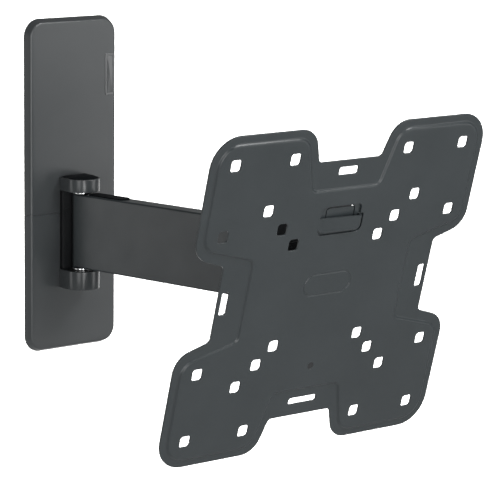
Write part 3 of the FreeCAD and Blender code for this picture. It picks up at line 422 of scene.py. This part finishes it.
class Surface:
    """Gathers points and faces in millimetres until they become one welded mesh."""

    def __init__(self):
        self.points, self.faces, self.count = [], [], 0

    def add(self, points, faces):
        points = np.asarray(points, float).reshape(-1, 3)
        self.points.append(points)
        self.faces += (np.asarray(faces) + self.count).tolist()
        self.count += len(points)

    def strip(self, rings, closed=True):
        """Four-sided faces between rings, an array of ring, point and place."""
        rings = np.asarray(rings)
        index = np.arange(rings.shape[0] * rings.shape[1]).reshape(rings.shape[:2])
        here, there = (index, np.roll(index, -1, 1)) if closed else (index[:, :-1], index[:, 1:])
        self.add(rings, np.stack([here[:-1], there[:-1], there[1:], here[1:]], -1).reshape(-1, 4))

    def cap(self, ring):
        self.add(ring, [np.arange(len(ring))])

    def ground(self, loops, *heights):
        """The flat ground between outlines, at each height."""
        flat, face = fillBetween(loops)
        for height in heights:
            self.add(np.column_stack([flat, np.full(len(flat), height)]), face)

    def piece(self, name, finish, place, sharp=40):
        """Puts the points in the shared frame with place, welds them and turns the faces outwards."""
        mesh = bpy.data.meshes.new(name)
        mesh.from_pydata((place(np.concatenate(self.points)) * mm).tolist(), [], self.faces)
        return finished(name, mesh, finish, sharp)


def finished(name, mesh, finish, sharp):
    """Welds a mesh, turns its faces outwards, shades it smooth up to an angle and shows it."""
    work = bmesh.new()
    work.from_mesh(mesh)
    bmesh.ops.remove_doubles(work, verts=work.verts, dist=weldGap * mm)
    bmesh.ops.recalc_face_normals(work, faces=work.faces)
    work.to_mesh(mesh)
    work.free()
    mesh.shade_smooth()
    mesh.set_sharp_from_angle(angle=math.radians(sharp))
    mesh.materials.clear()
    mesh.materials.append(paints[finish])
    piece = bpy.data.objects.new(name, mesh)
    scene.collection.objects.link(piece)
    return piece


def stands(piece, node):
    """The piece takes a CAD node's place and body, and the node is hidden."""
    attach(piece, frame["nodes"][node]["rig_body"])
    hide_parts(node)


# "rim" and "middle": half size, top notch, side notch, notch half width, lean of the notch's sides in
# degrees, and the radii of the outer, opening and inner corners
plate = {
    "out": 22, "drop": 6.1, "lean": 15, "sheet": 1.5, "rise": 1.3, "edge": 0.35,
    "rim": (120.25, 95.3, 93.3, 27.5, 17.5, 21.8, 16, 4),
    "middle": (114.8, 75.3, 70.3, 29.2, 15, 16.3, 13, 5),
    "softSlope": 2.0, "slopeStart": -0.5, "backShift": 0.9, "square": 8.4, "squareRound": 2.2,
    "outer": 100, "inner": 50, "small": 37.5, "extra": 64.65,
    "tieTop": (0, 87.4, 8.4, 2.95), "tieSide": (87.4, 0, 2.95, 8.4), "tieLow": (0, -84.2, 12.35, 2.4),
    "tieRound": 1.75, "lockUp": -57.5, "lockBore": 2.5,
    "ovalUp": 5, "ovalWide": 21.2, "ovalTall": 8.4, "grooveWide": 1.3, "grooveDeep": 0.35,
}
hood = {"left": -19, "right": 17.4, "low": 43.9, "high": 54.8, "round": 4.2, "rise": 2.6, "soft": 1.5,
        "sheet": 1.3, "lap": 0.6, "sideGap": 3.0, "lowGap": 2.1, "topGap": 0.4, "tucked": 0.6, "fade": 7,
        "windowWide": 17.5, "windowHigh": 62.4, "windowRound": 3, "stepRound": 0.8, "sharpRound": 0.3}


def onPlate(points):
    """From plate terms (across, up from its middle, out of its raised face) to the shared frame."""
    out, up = plate["out"] + points[:, 2], points[:, 1] - plate["drop"]
    lean = math.radians(plate["lean"])
    turned = np.column_stack([points[:, 0], -out * math.cos(lean) - up * math.sin(lean),
                              up * math.cos(lean) - out * math.sin(lean)])
    return turned + joints["tilt"]


def notched(half, top, side, mouth, lean, corner, opening, inner):
    """Corners of a square with a notch in each side whose mouth widens outwards."""
    slope = math.tan(math.radians(lean))
    part = [(side, mouth, inner), (half, mouth + (half - side) * slope, opening), (half, half, corner),
            (mouth + (half - top) * slope, half, opening), (mouth, top, inner)]
    upper = part + [(-x, y, r) for x, y, r in reversed(part)]
    return upper + [(-x, -y, r) for x, y, r in upper]


def punchedEdge(surface, corners, front, back, steps=6):
    """Wall of a hole from front to back with both edges rounded; gives the outline left for the ground."""
    soft, flat = plate["edge"], 2 * plate["edge"]
    bend = quarter(soft)
    profile = [(-flat, front)] + [(-inset, front - drop) for inset, drop in bend]
    profile += [(-inset, back + drop) for inset, drop in bend[::-1]] + [(-flat, back)]
    surface.strip(ringsOf(corners, profile, steps))
    return roundedPath(moved(corners, -flat), steps)


def makePlate():
    """Rim, soft step and raised middle are one profile carried round the notched outline; the flat
    ground between the step and the holes is filled in front and behind."""
    surface = Surface()
    rim, middle = notched(*plate["rim"]), notched(*plate["middle"])
    sheet, low = plate["sheet"], -plate["rise"]
    steps, soft, margin = 8, plate["edge"], 2 * plate["edge"]
    bend = quarter(soft)
    edge = [(margin, low)] + [(inset, low - drop) for inset, drop in bend]
    edge += [(inset, low - sheet + drop) for inset, drop in bend[::-1]] + [(margin, low - sheet)]
    surface.strip(ringsOf(rim, edge, steps))
    ramp = np.linspace(0, 1, 10)
    start, run, shift = plate["slopeStart"], plate["softSlope"], plate["backShift"]
    inside = start + run + shift + margin
    # height of the step: cubic ease from the rim to the middle
    climb = low * (1 - ramp * ramp * (3 - 2 * ramp))
    front = [(start - margin, low)] + [(start + run * r, h) for r, h in zip(ramp, climb)] + [(inside, 0)]
    back = [(start - margin, low - sheet)] + [(start + shift + run * r, h - sheet)
                                              for r, h in zip(ramp, climb)] + [(inside, -sheet)]
    surface.strip(ringsOf(middle, front, steps))
    surface.strip(ringsOf(middle, back, steps))

    half = plate["square"] / 2
    places = [(plate["outer"], plate["outer"]), (plate["inner"], plate["outer"]),
              (plate["outer"], plate["inner"]), (plate["extra"], plate["extra"]),
              (plate["inner"], plate["inner"]), (plate["small"], plate["small"])]
    holes = [tile(x * across, y * up, half, half, plate["squareRound"])
             for x, y in places for across in (1, -1) for up in (1, -1)]
    bore = plate["lockBore"]
    holes.append(tile(0, plate["lockUp"], bore, bore, bore - 0.01))
    left, right = hood["left"] + hood["tucked"], hood["right"] + hood["sideGap"]
    sill, step = hood["low"] - hood["lowGap"], hood["high"] + hood["topGap"]
    inner, top = hood["windowWide"], hood["windowHigh"]
    bend, small = hood["windowRound"], hood["sharpRound"]
    holes.append([(left, sill, hood["round"]), (right, sill, hood["round"]),
                  (right, step, hood["stepRound"]), (inner, step, small), (inner, top, bend),
                  (-inner, top, bend), (-inner, step, small), (left, step, small)])
    loops = [roundedPath(moved(middle, inside), steps)]
    loops += [punchedEdge(surface, corners, 0, -sheet) for corners in holes]

    oval = tile(0, plate["ovalUp"], plate["ovalWide"], plate["ovalTall"], plate["ovalTall"] - 0.01)
    across = np.linspace(0, 1, 9)
    groove = [(-margin, 0)] + [(plate["grooveWide"] * a, -plate["grooveDeep"] * math.sin(math.pi * a) ** 2)
                               for a in across] + [(plate["grooveWide"] + margin, 0)]
    rings = ringsOf(oval, groove, 16)
    surface.strip(rings)
    ends = [rings[0][:, :2], rings[-1][:, :2]]
    surface.ground(loops + ends, 0)
    surface.ground(loops, -sheet)

    x, y, long, tall = plate["tieSide"]
    ties = [plate["tieTop"], (x, y, long, tall), (-x, y, long, tall), plate["tieLow"]]
    ground = [roundedPath(moved(rim, margin), steps), roundedPath(moved(middle, start - margin), steps)]
    ground += [punchedEdge(surface, tile(*tie, plate["tieRound"]), low, low - sheet) for tie in ties]
    surface.ground(ground, low, low - sheet)
    makeHood(surface)
    return surface.piece("stampedPlate", "coated_steel", onPlate, 50)


def makeHood(surface):
    """Pressed louvre open at the top: a rounded profile carried along a U, then its hollow side, its
    foot and its cut edge. The hollow follows at one sheet's thickness along the profile's normal, and
    the rise grows from the left end with a cubic ease."""
    left, right, low, high, soft, thick = (
        hood[word] for word in ("left", "right", "low", "high", "soft", "sheet"))
    cup = tile((left + right) / 2, (low + high) / 2, (right - left) / 2, (high - low) / 2, hood["round"])
    tilt = np.concatenate([[0, 0], np.linspace(0, math.pi / 2, 7), [math.pi / 2]])
    inset = np.concatenate([[0, 0], soft * (1 - np.cos(tilt[2:-1])), [soft + hood["lap"]]])
    height = np.concatenate([[-plate["sheet"], 0], hood["rise"] - soft * (1 - np.sin(tilt[2:-1])),
                             [hood["rise"]]])

    def ring(e, h, under=0, steps=8):
        bend = roundedPath(moved(cup, e), steps)[:2 * (steps + 1)]
        path = np.concatenate([[(left + e, high)], bend, [(right - e, high)]])
        share = np.clip((path[:, 0] - left) / hood["fade"], 0, 1)
        grown = min(h, 0) + max(h, 0) * share * share * (3 - 2 * share)
        return np.column_stack([path, grown - under])

    outer = np.stack([ring(e, h) for e, h in zip(inset, height)])
    inner = np.stack([ring(e + thick * math.cos(t), h, thick * math.sin(t))
                      for e, h, t in zip(inset, height, tilt)])
    surface.strip(outer, closed=False)
    surface.strip(inner, closed=False)
    surface.strip(np.stack([outer[0], inner[0]]), closed=False)
    for shell in (outer, inner):
        surface.cap(shell[-1])
    mouth = np.stack([np.concatenate([shell[:, 0], shell[::-1, -1]]) for shell in (outer, inner)])
    surface.strip(mouth, closed=False)


stands(makePlate(), "tv_plate")
print("plate ready")

cover = {"wide": 80, "tall": 247, "deep": 6.5, "lift": 0.4, "inset": 2.4, "round": 13, "wall": 1.6,
         "soft": 1.5, "rearSoft": 0.2, "margin": 0.8, "split": -20, "seam": 0.2, "openWide": 11.9,
         "openLow": -62.9, "openHigh": -2.1, "openRound": 0.6, "openSoft": 0.3, "lip": 1.0, "lipReach": 2.5,
         "lipGap": 0.05, "lipLean": 0.3}
nose = {"wide": 13, "wall": 1.1, "tall": 9.7, "foot": 13.9, "gap": 29.4, "soft": 0.45, "rearSoft": 0.2,
        "capThick": 1.2, "capGap": 0.05, "capBack": 0.1, "crown": 2.1, "bulge": 3}
badge = {"across": 32.6, "up": 80, "wide": 4.2, "tall": 15.5, "round": 1.2, "proud": 0.35, "soft": 0.3,
         "rooted": 0.2, "ringIn": 1.3, "ringWide": 0.7, "ringDeep": 0.18}


def onWall(points):
    """From wall terms (across, up, out from the wall) to the shared frame."""
    return np.column_stack([points[:, 0], -points[:, 2], points[:, 1]])


def asDrawn(points):
    return points


def makeCoverShell():
    """One shell for both halves: its side is a straight lean that ends in a quadratic curve, carried
    round a rounded rectangle, with the flat front filled round the hinge opening."""
    outline = tile(0, 0, cover["wide"] / 2, cover["tall"] / 2, cover["round"])
    deep, lift, inset, wall, soft = (cover[word] for word in ("deep", "lift", "inset", "wall", "soft"))
    t = np.linspace(0, 1, 8)[:, None]
    lean = np.array([inset, deep - lift]) / math.hypot(inset, deep - lift)
    corner = np.array([inset, deep])
    bend = (1 - t) ** 2 * (corner - lean * soft) + 2 * t * (1 - t) * corner + t ** 2 * (corner + [soft, 0])
    margin = inset + soft + cover["margin"] + wall
    small = cover["rearSoft"]
    side = [(small, lift), (0, lift + small), *map(tuple, bend), (margin, deep)]
    rear = [(small, lift), (wall - small, lift), (wall, lift + small), (inset + wall, deep - wall),
            (margin, deep - wall)]
    surface = Surface()
    steps = 12
    surface.strip(ringsOf(outline, side, steps))
    surface.strip(ringsOf(outline, rear, steps))
    low, high, half = cover["openLow"], cover["openHigh"], cover["openWide"]
    opening = tile(0, (low + high) / 2, half, (high - low) / 2, cover["openRound"])
    flat = 2 * cover["openSoft"]
    profile = [(-flat, deep)] + [(-e, deep - drop) for e, drop in quarter(cover["openSoft"])]
    profile += [(0, deep - wall), (-flat, deep - wall)]
    surface.strip(ringsOf(opening, profile))
    loops = [roundedPath(moved(outline, margin), steps), roundedPath(moved(opening, -flat))]
    surface.ground(loops, deep, deep - wall)
    return surface.piece("coverShell", "cover_plastic", onWall)


def halfOf(shell, name, upper):
    """Copy of the shell cut along the seam, with the cut closed."""
    mesh = shell.data.copy()
    mesh.name = name
    side = 1 if upper else -1
    work = bmesh.new()
    work.from_mesh(mesh)
    level = cover["split"] + side * cover["seam"] / 2
    cut = bmesh.ops.bisect_plane(work, geom=work.verts[:] + work.edges[:] + work.faces[:],
                                 plane_co=(0, 0, level * mm), plane_no=(0, 0, side), clear_inner=True)
    rim = [item for item in cut["geom_cut"] if isinstance(item, bmesh.types.BMEdge)]
    bmesh.ops.edgenet_fill(work, edges=rim)
    work.to_mesh(mesh)
    work.free()
    return mesh


def addLip(surface):
    """Thin strip inside the lower half that stands up behind the seam, following the lean of the side."""
    inset, deep, lift, wall = (cover[word] for word in ("inset", "deep", "lift", "wall"))
    level, reach, thick, gap = cover["split"], cover["lipReach"], cover["lip"], cover["lipGap"]
    start, stop = cover["wide"] / 2 - wall - gap, cover["wide"] / 2 - inset - wall - 2 * gap
    inner, outer = np.array([start, lift + 2 * gap]), np.array([stop, deep - wall - gap])
    edge = np.array([inner, outer, outer - [thick, cover["lipLean"]], inner - [thick, 0]])
    for side in (-1, 1):
        rings = [np.column_stack([side * edge[:, 0], np.full(4, level + up), edge[:, 1]])
                 for up in (-reach, reach)]
        surface.strip(np.stack(rings))
        surface.cap(rings[0])
        surface.cap(rings[1])


def nosePath(half, steps=48):
    """Plan of a nose: straight sides from the cover that meet in a half circle round the hinge."""
    hub = joints["arm_swivel"][1]
    turn = np.linspace(math.pi, 2 * math.pi, steps + 1)
    arc = np.column_stack([half * np.cos(turn), hub + half * np.sin(turn)])
    root = -cover["deep"] + cover["wall"] / 2
    return np.concatenate([[(-half, root)], arc, [(half, root)]])


def addNose(surface, low, high):
    """Wall of a nose: a closed profile with rounded edges carried along its plan."""
    wall, small = nose["wall"], nose["rearSoft"]
    bend = quarter(nose["soft"])
    top = [(e, high - drop) for e, drop in bend]
    foot = [(e, low + drop) for e, drop in bend[::-1]]
    back = [(wall - small, low), (wall, low + small), (wall, high - small)]
    profile = [(wall - small, high)] + top + foot + back
    rings = []
    for inset, height in profile + profile[:1]:
        path = nosePath(nose["wide"] - inset)
        rings.append(np.column_stack([path, np.full(len(path), height)]))
    rings = np.stack(rings)
    surface.strip(rings, closed=False)
    for end in (0, -1):
        surface.cap(rings[:-1, end])


def makeCovers():
    """Each cover is a nose and its half of the shell, and the lower one has the lip behind the seam."""
    shell = makeCoverShell()
    hinge = joints["arm_swivel"][2]
    for name, node, upper in (("upperCover", "upper_cover", True), ("lowerCover", "lower_cover", False)):
        surface = Surface()
        low = hinge + nose["gap"] if upper else hinge - nose["gap"] - nose["foot"]
        addNose(surface, low, low + nose["tall" if upper else "foot"])
        part = surface.piece(name, "cover_plastic", asDrawn)
        meshes = [part.data, halfOf(shell, name + "Half", upper)]
        if not upper:
            lip = Surface()
            addLip(lip)
            strip = lip.piece("seamLip", "cover_plastic", onWall)
            meshes.append(strip.data)
            bpy.data.objects.remove(strip)
        work = bmesh.new()
        for mesh in meshes:
            work.from_mesh(mesh)
        work.to_mesh(part.data)
        work.free()
        part.data.set_sharp_from_angle(angle=math.radians(40))
        stands(part, node)
    bpy.data.objects.remove(shell)


def makeNoseCaps():
    """Black caps over the noses' plans. The upper one has a crown: its height grows with one less the
    share of the way out raised to a high power, which leaves a flat top and a round shoulder."""
    hinge, half = joints["arm_swivel"][2], nose["wide"] - nose["wall"] - nose["capGap"]
    path = nosePath(half)
    path[[0, -1], 1] = -cover["deep"] - nose["capBack"]
    middle = np.array([0, (joints["arm_swivel"][1] - half + path[0, 1]) / 2])
    for name, node, side, tall, crown in (("upperNoseCap", "upper_nose_cap", 1, "tall", nose["crown"]),
                                          ("lowerNoseCap", "lower_nose_cap", -1, "foot", 0)):
        level = hinge + side * (nose["gap"] + nose[tall])
        rings = [np.column_stack([path, np.full(len(path), level - side * nose["capThick"])])]
        for share in np.sin(np.linspace(math.pi / 2, 0.05, 12)):
            height = level + side * crown * (1 - share ** nose["bulge"])
            rings.append(np.column_stack([middle + (path - middle) * share, np.full(len(path), height)]))
        surface = Surface()
        surface.strip(np.stack(rings))
        surface.cap(rings[0])
        surface.cap(rings[-1])
        stands(surface.piece(name, "black_plastic", asDrawn), node)


def makeBadge():
    """Small raised label with a plain sunk outline where a name would stand."""
    outline = tile(badge["across"], badge["up"], badge["wide"], badge["tall"], badge["round"])
    front = cover["deep"] + badge["proud"]
    bend = quarter(badge["soft"])
    ringIn, wide = badge["ringIn"], badge["ringWide"]
    across = np.linspace(0, 1, 6)
    sunk = [(ringIn + wide * a, front - badge["ringDeep"] * math.sin(math.pi * a) ** 2) for a in across]
    profile = [(0, cover["deep"] - badge["rooted"])] + [(e, front - drop) for e, drop in bend[::-1]] + sunk
    rings = ringsOf(outline, profile)
    surface = Surface()
    surface.strip(rings)
    surface.cap(rings[0])
    surface.cap(rings[-1])
    stands(surface.piece("coverBadge", "badge_plastic", onWall), "cover_badge")


makeCovers()
makeNoseCaps()
makeBadge()
print("covers ready")

hardware = {"pin": 4, "slack": 0.02, "turns": 48, "washer": 8, "washerThick": 1, "washerSoft": 0.2,
            "ring": 7.5, "ringSoft": 0.3, "ringSlack": 0.2, "disc": 8, "discThick": 1.2, "discSoft": 0.25}
hexagon = {"wide": 7, "tall": 3.2, "chamfer": 0.9, "slope": 1.7, "boreSoft": 0.4, "turns": 72}
thread = {"pitch": 1.25, "deep": 0.35, "steps": 10, "runOut": 0.4, "endDeep": 0.25, "past": 0.2,
          "inset": 0.05, "tiltRun": 3}
flatHead = {"wide": 7, "thick": 1.3, "soft": 0.7, "dish": 2.2, "dishDeep": 0.9, "dishLean": 0.1}
quarterTurns = {"x": Matrix.Rotation(math.pi / 2, 3, "Y"), "z": Matrix.Identity(3)}


def around(axis, centre):
    """Places a shape drawn about its own upright axis on an axis of the shared frame through centre."""
    turn = np.array(quarterTurns[axis])
    return lambda points: points @ turn.T + centre


def wheel(radius, height, angle):
    """Rings of points from a radius for each ring, or for each ring and angle, and a height for each."""
    radius = np.broadcast_to(radius, (len(height), len(angle)))
    return np.stack([radius * np.cos(angle), radius * np.sin(angle),
                     np.repeat(height[:, None], len(angle), 1)], -1)


def turned(surface, profile, closed=False):
    """A profile of (radius, height) pairs turned about the axis, closed on itself or capped."""
    angle = np.linspace(0, 2 * math.pi, hardware["turns"], endpoint=False)
    radius, height = np.array(profile, float).T
    rings = wheel(radius[:, None], height, angle)
    surface.strip(np.concatenate([rings, rings[:1]]) if closed else rings)
    if not closed:
        surface.cap(rings[0])
        surface.cap(rings[-1])


def disc(surface, outer, bore, low, high, soft):
    """Flat ring with rounded edges: a closed profile turned about the axis."""
    bend = quarter(soft)
    rim = [(outer - e, high - d) for e, d in bend] + [(outer - e, low + d) for e, d in bend[::-1]]
    inner = [(bore + e, low + d) for e, d in bend] + [(bore + e, high - d) for e, d in bend[::-1]]
    turned(surface, rim + inner, closed=True)


def hexBlock(surface, low, high, bore=None, both=True):
    """Hexagon whose radius at an angle is its flat's distance over the cosine, or its turned chamfer's
    radius at that height where that is less. The chamfer is at the top alone or at both ends."""
    angle = np.linspace(0, 2 * math.pi, hexagon["turns"], endpoint=False)
    flat = hexagon["wide"] * math.cos(math.pi / 6)
    sixth = (angle + math.pi / 6) % (math.pi / 3) - math.pi / 6
    height = np.concatenate([low + (high - low) * np.linspace(0, 0.3, 5),
                             low + (high - low) * np.linspace(0.7, 1, 5)])
    near = np.minimum(height - low, high - height) if both else high - height
    cone = hexagon["wide"] - hexagon["chamfer"] + hexagon["slope"] * near
    rings = wheel(np.minimum(flat / np.cos(sixth)[None], cone[:, None]), height, angle)
    if bore is None:
        surface.strip(rings)
        surface.cap(rings[0])
        surface.cap(rings[-1])
        return
    soft = hexagon["boreSoft"]
    hole = np.array([(bore + soft, high), (bore, high - soft), (bore, low + soft), (bore + soft, low)])
    surface.strip(np.concatenate([rings, wheel(hole[:, :1], hole[:, 1], angle), rings[:1]]))


def threaded(surface, start, stop):
    """Shank end whose radius falls in a triangle wave that climbs one pitch for each turn."""
    angle = np.linspace(0, 2 * math.pi, hardware["turns"] + 1)
    pitch = thread["pitch"]
    height = np.linspace(start, stop, max(8, int(abs(stop - start) / pitch * thread["steps"])))
    wave = abs((height[:, None] / pitch - angle[None] / (2 * math.pi)) % 1 - 0.5) * 2
    near = np.minimum(abs(height - start), abs(stop - height))
    ends = np.clip(near / thread["runOut"], 0, 1)[:, None]
    radius = hardware["pin"] - hardware["slack"] - thread["deep"] * wave * ends
    rings = wheel(radius - thread["endDeep"] * (1 - ends), height, angle)
    surface.strip(rings, closed=False)
    surface.cap(rings[0, :-1])
    surface.cap(rings[-1, :-1])


def spans(node, axis, centre=0):
    """Lowest and highest place of a CAD node along an axis, in millimetres from centre."""
    low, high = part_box(node)
    pick = "xyz".index(axis)
    return low[pick] / mm - centre, high[pick] / mm - centre


def washer(surface, low):
    disc(surface, hardware["washer"], hardware["pin"], low, low + hardware["washerThick"],
         hardware["washerSoft"])


def makeUprightPivot(side, joint, flat):
    """Bolt with a flat or a hexagon head, nut, washers and bright rings of one upright hinge."""
    place = around("z", np.array([*joints[joint][:2], 0]))
    pin, shank = hardware["pin"], hardware["pin"] - hardware["slack"]
    names = [side + "_hinge_" + word for word in ("bolt", "nut", "washers", "rings")]
    (boltLow, boltHigh), (nutLow, nutHigh), (washLow, washHigh), (ringLow, ringHigh) = (
        spans(name, "z") for name in names)

    bolt = Surface()
    if flat:
        wide, dish = flatHead["wide"], flatHead["dish"]
        seat = boltHigh - flatHead["thick"]
        crown = [(wide - e, boltHigh - d) for e, d in quarter(flatHead["soft"])]
        turned(bolt, [(dish, boltHigh - flatHead["dishDeep"]), (dish + flatHead["dishLean"], boltHigh)]
               + crown + [(wide, seat)])
    else:
        seat = boltHigh - hexagon["tall"]
        hexBlock(bolt, seat, boltHigh, both=False)
    turned(bolt, [(shank, seat), (shank, nutHigh + thread["past"])])
    threaded(bolt, boltLow + thread["inset"], nutHigh + thread["past"])
    stands(bolt.piece(side + "HingeBolt", slotOf[names[0]], place), names[0])

    nut = Surface()
    hexBlock(nut, nutLow, nutHigh, bore=pin)
    stands(nut.piece(side + "HingeNut", "zinc_steel", place), names[1])
    washers = Surface()
    washer(washers, washLow)
    if not flat:
        washer(washers, washHigh - hardware["washerThick"])
    stands(washers.piece(side + "HingeWashers", "zinc_steel", place), names[2])
    rings = Surface()
    armLow, armHigh = spans("arm_tube", "z")
    slack = hardware["ringSlack"]
    for low, high in ((ringLow, armLow - slack), (armHigh + slack, ringHigh)):
        disc(rings, hardware["ring"], pin, low, high, hardware["ringSoft"])
    stands(rings.piece(side + "HingeRings", "bright_chrome", place), names[3])


def makeTiltPivot():
    """Bolt, nut, washers and friction discs of the level hinge."""
    place = around("x", joints["tilt"])
    pin, shank = hardware["pin"], hardware["pin"] - hardware["slack"]
    (boltLow, boltHigh), (nutLow, nutHigh), (washLow, washHigh), (discLow, discHigh) = (
        spans(name, "x", joints["tilt"][0])
        for name in ("tilt_bolt", "tilt_nut", "tilt_washers", "friction_discs"))
    bolt = Surface()
    hexBlock(bolt, boltLow, boltLow + hexagon["tall"])
    turned(bolt, [(shank, boltLow + 1), (shank, nutLow - thread["tiltRun"])])
    threaded(bolt, nutLow - thread["tiltRun"], boltHigh)
    stands(bolt.piece("tiltBolt", "zinc_steel", place), "tilt_bolt")
    nut = Surface()
    hexBlock(nut, nutLow, nutHigh, bore=pin)
    stands(nut.piece("tiltNut", "zinc_steel", place), "tilt_nut")
    washers = Surface()
    washer(washers, washLow)
    washer(washers, washHigh - hardware["washerThick"])
    stands(washers.piece("tiltWashers", "zinc_steel", place), "tilt_washers")
    discs = Surface()
    thick = hardware["discThick"]
    for low, high in ((discLow, discLow + thick), (discHigh - thick, discHigh)):
        disc(discs, hardware["disc"], pin, low, high, hardware["discSoft"])
    stands(discs.piece("frictionDiscs", "bush_nylon", place), "friction_discs")


makeUprightPivot("wall", "arm_swivel", False)
makeUprightPivot("tv", "head_swivel", True)
makeTiltPivot()
print("hardware ready")

# CAD node: name of the piece and width of its worn edges
edges = {
    "wall_bracket": ("wallBracket", 0.4), "hinge_bracket": ("hingeBracket", 0.4),
    "head_bracket": ("headBracket", 0.4), "tilt_knuckle": ("tiltKnuckle", 0.35),
    "tilt_yoke": ("tiltYoke", 0.2), "wall_end_cap": ("wallEndCap", 0.4), "tv_end_cap": ("tvEndCap", 0.4),
    "arm_tube": ("armTube", 0.25), "arm_cable_clip": ("armClip", 0.3), "tilt_spacer": ("tiltSpacer", 0.25),
}
edgeAngle = 35


def softened(name, node, width):
    """Copy of a CAD node with its corners worn round to a small radius."""
    mesh = frame["nodes"][node].data.copy()
    mesh.name = name
    work = bmesh.new()
    work.from_mesh(mesh)
    bmesh.ops.remove_doubles(work, verts=work.verts, dist=weldGap * mm)
    bmesh.ops.dissolve_limit(work, angle_limit=math.radians(0.6), verts=work.verts, edges=work.edges)
    work.to_mesh(mesh)
    work.free()
    piece = finished(name, mesh, slotOf[node], edgeAngle)
    bevel = piece.modifiers.new("softEdges", "BEVEL")
    bevel.width = width * mm
    bevel.segments = 3
    bevel.limit_method = "ANGLE"
    bevel.angle_limit = math.radians(edgeAngle)
    bevel.harden_normals = True
    stands(piece, node)


for node, (name, width) in edges.items():
    softened(name, node, width)
print("brackets ready")

print("scene ready")
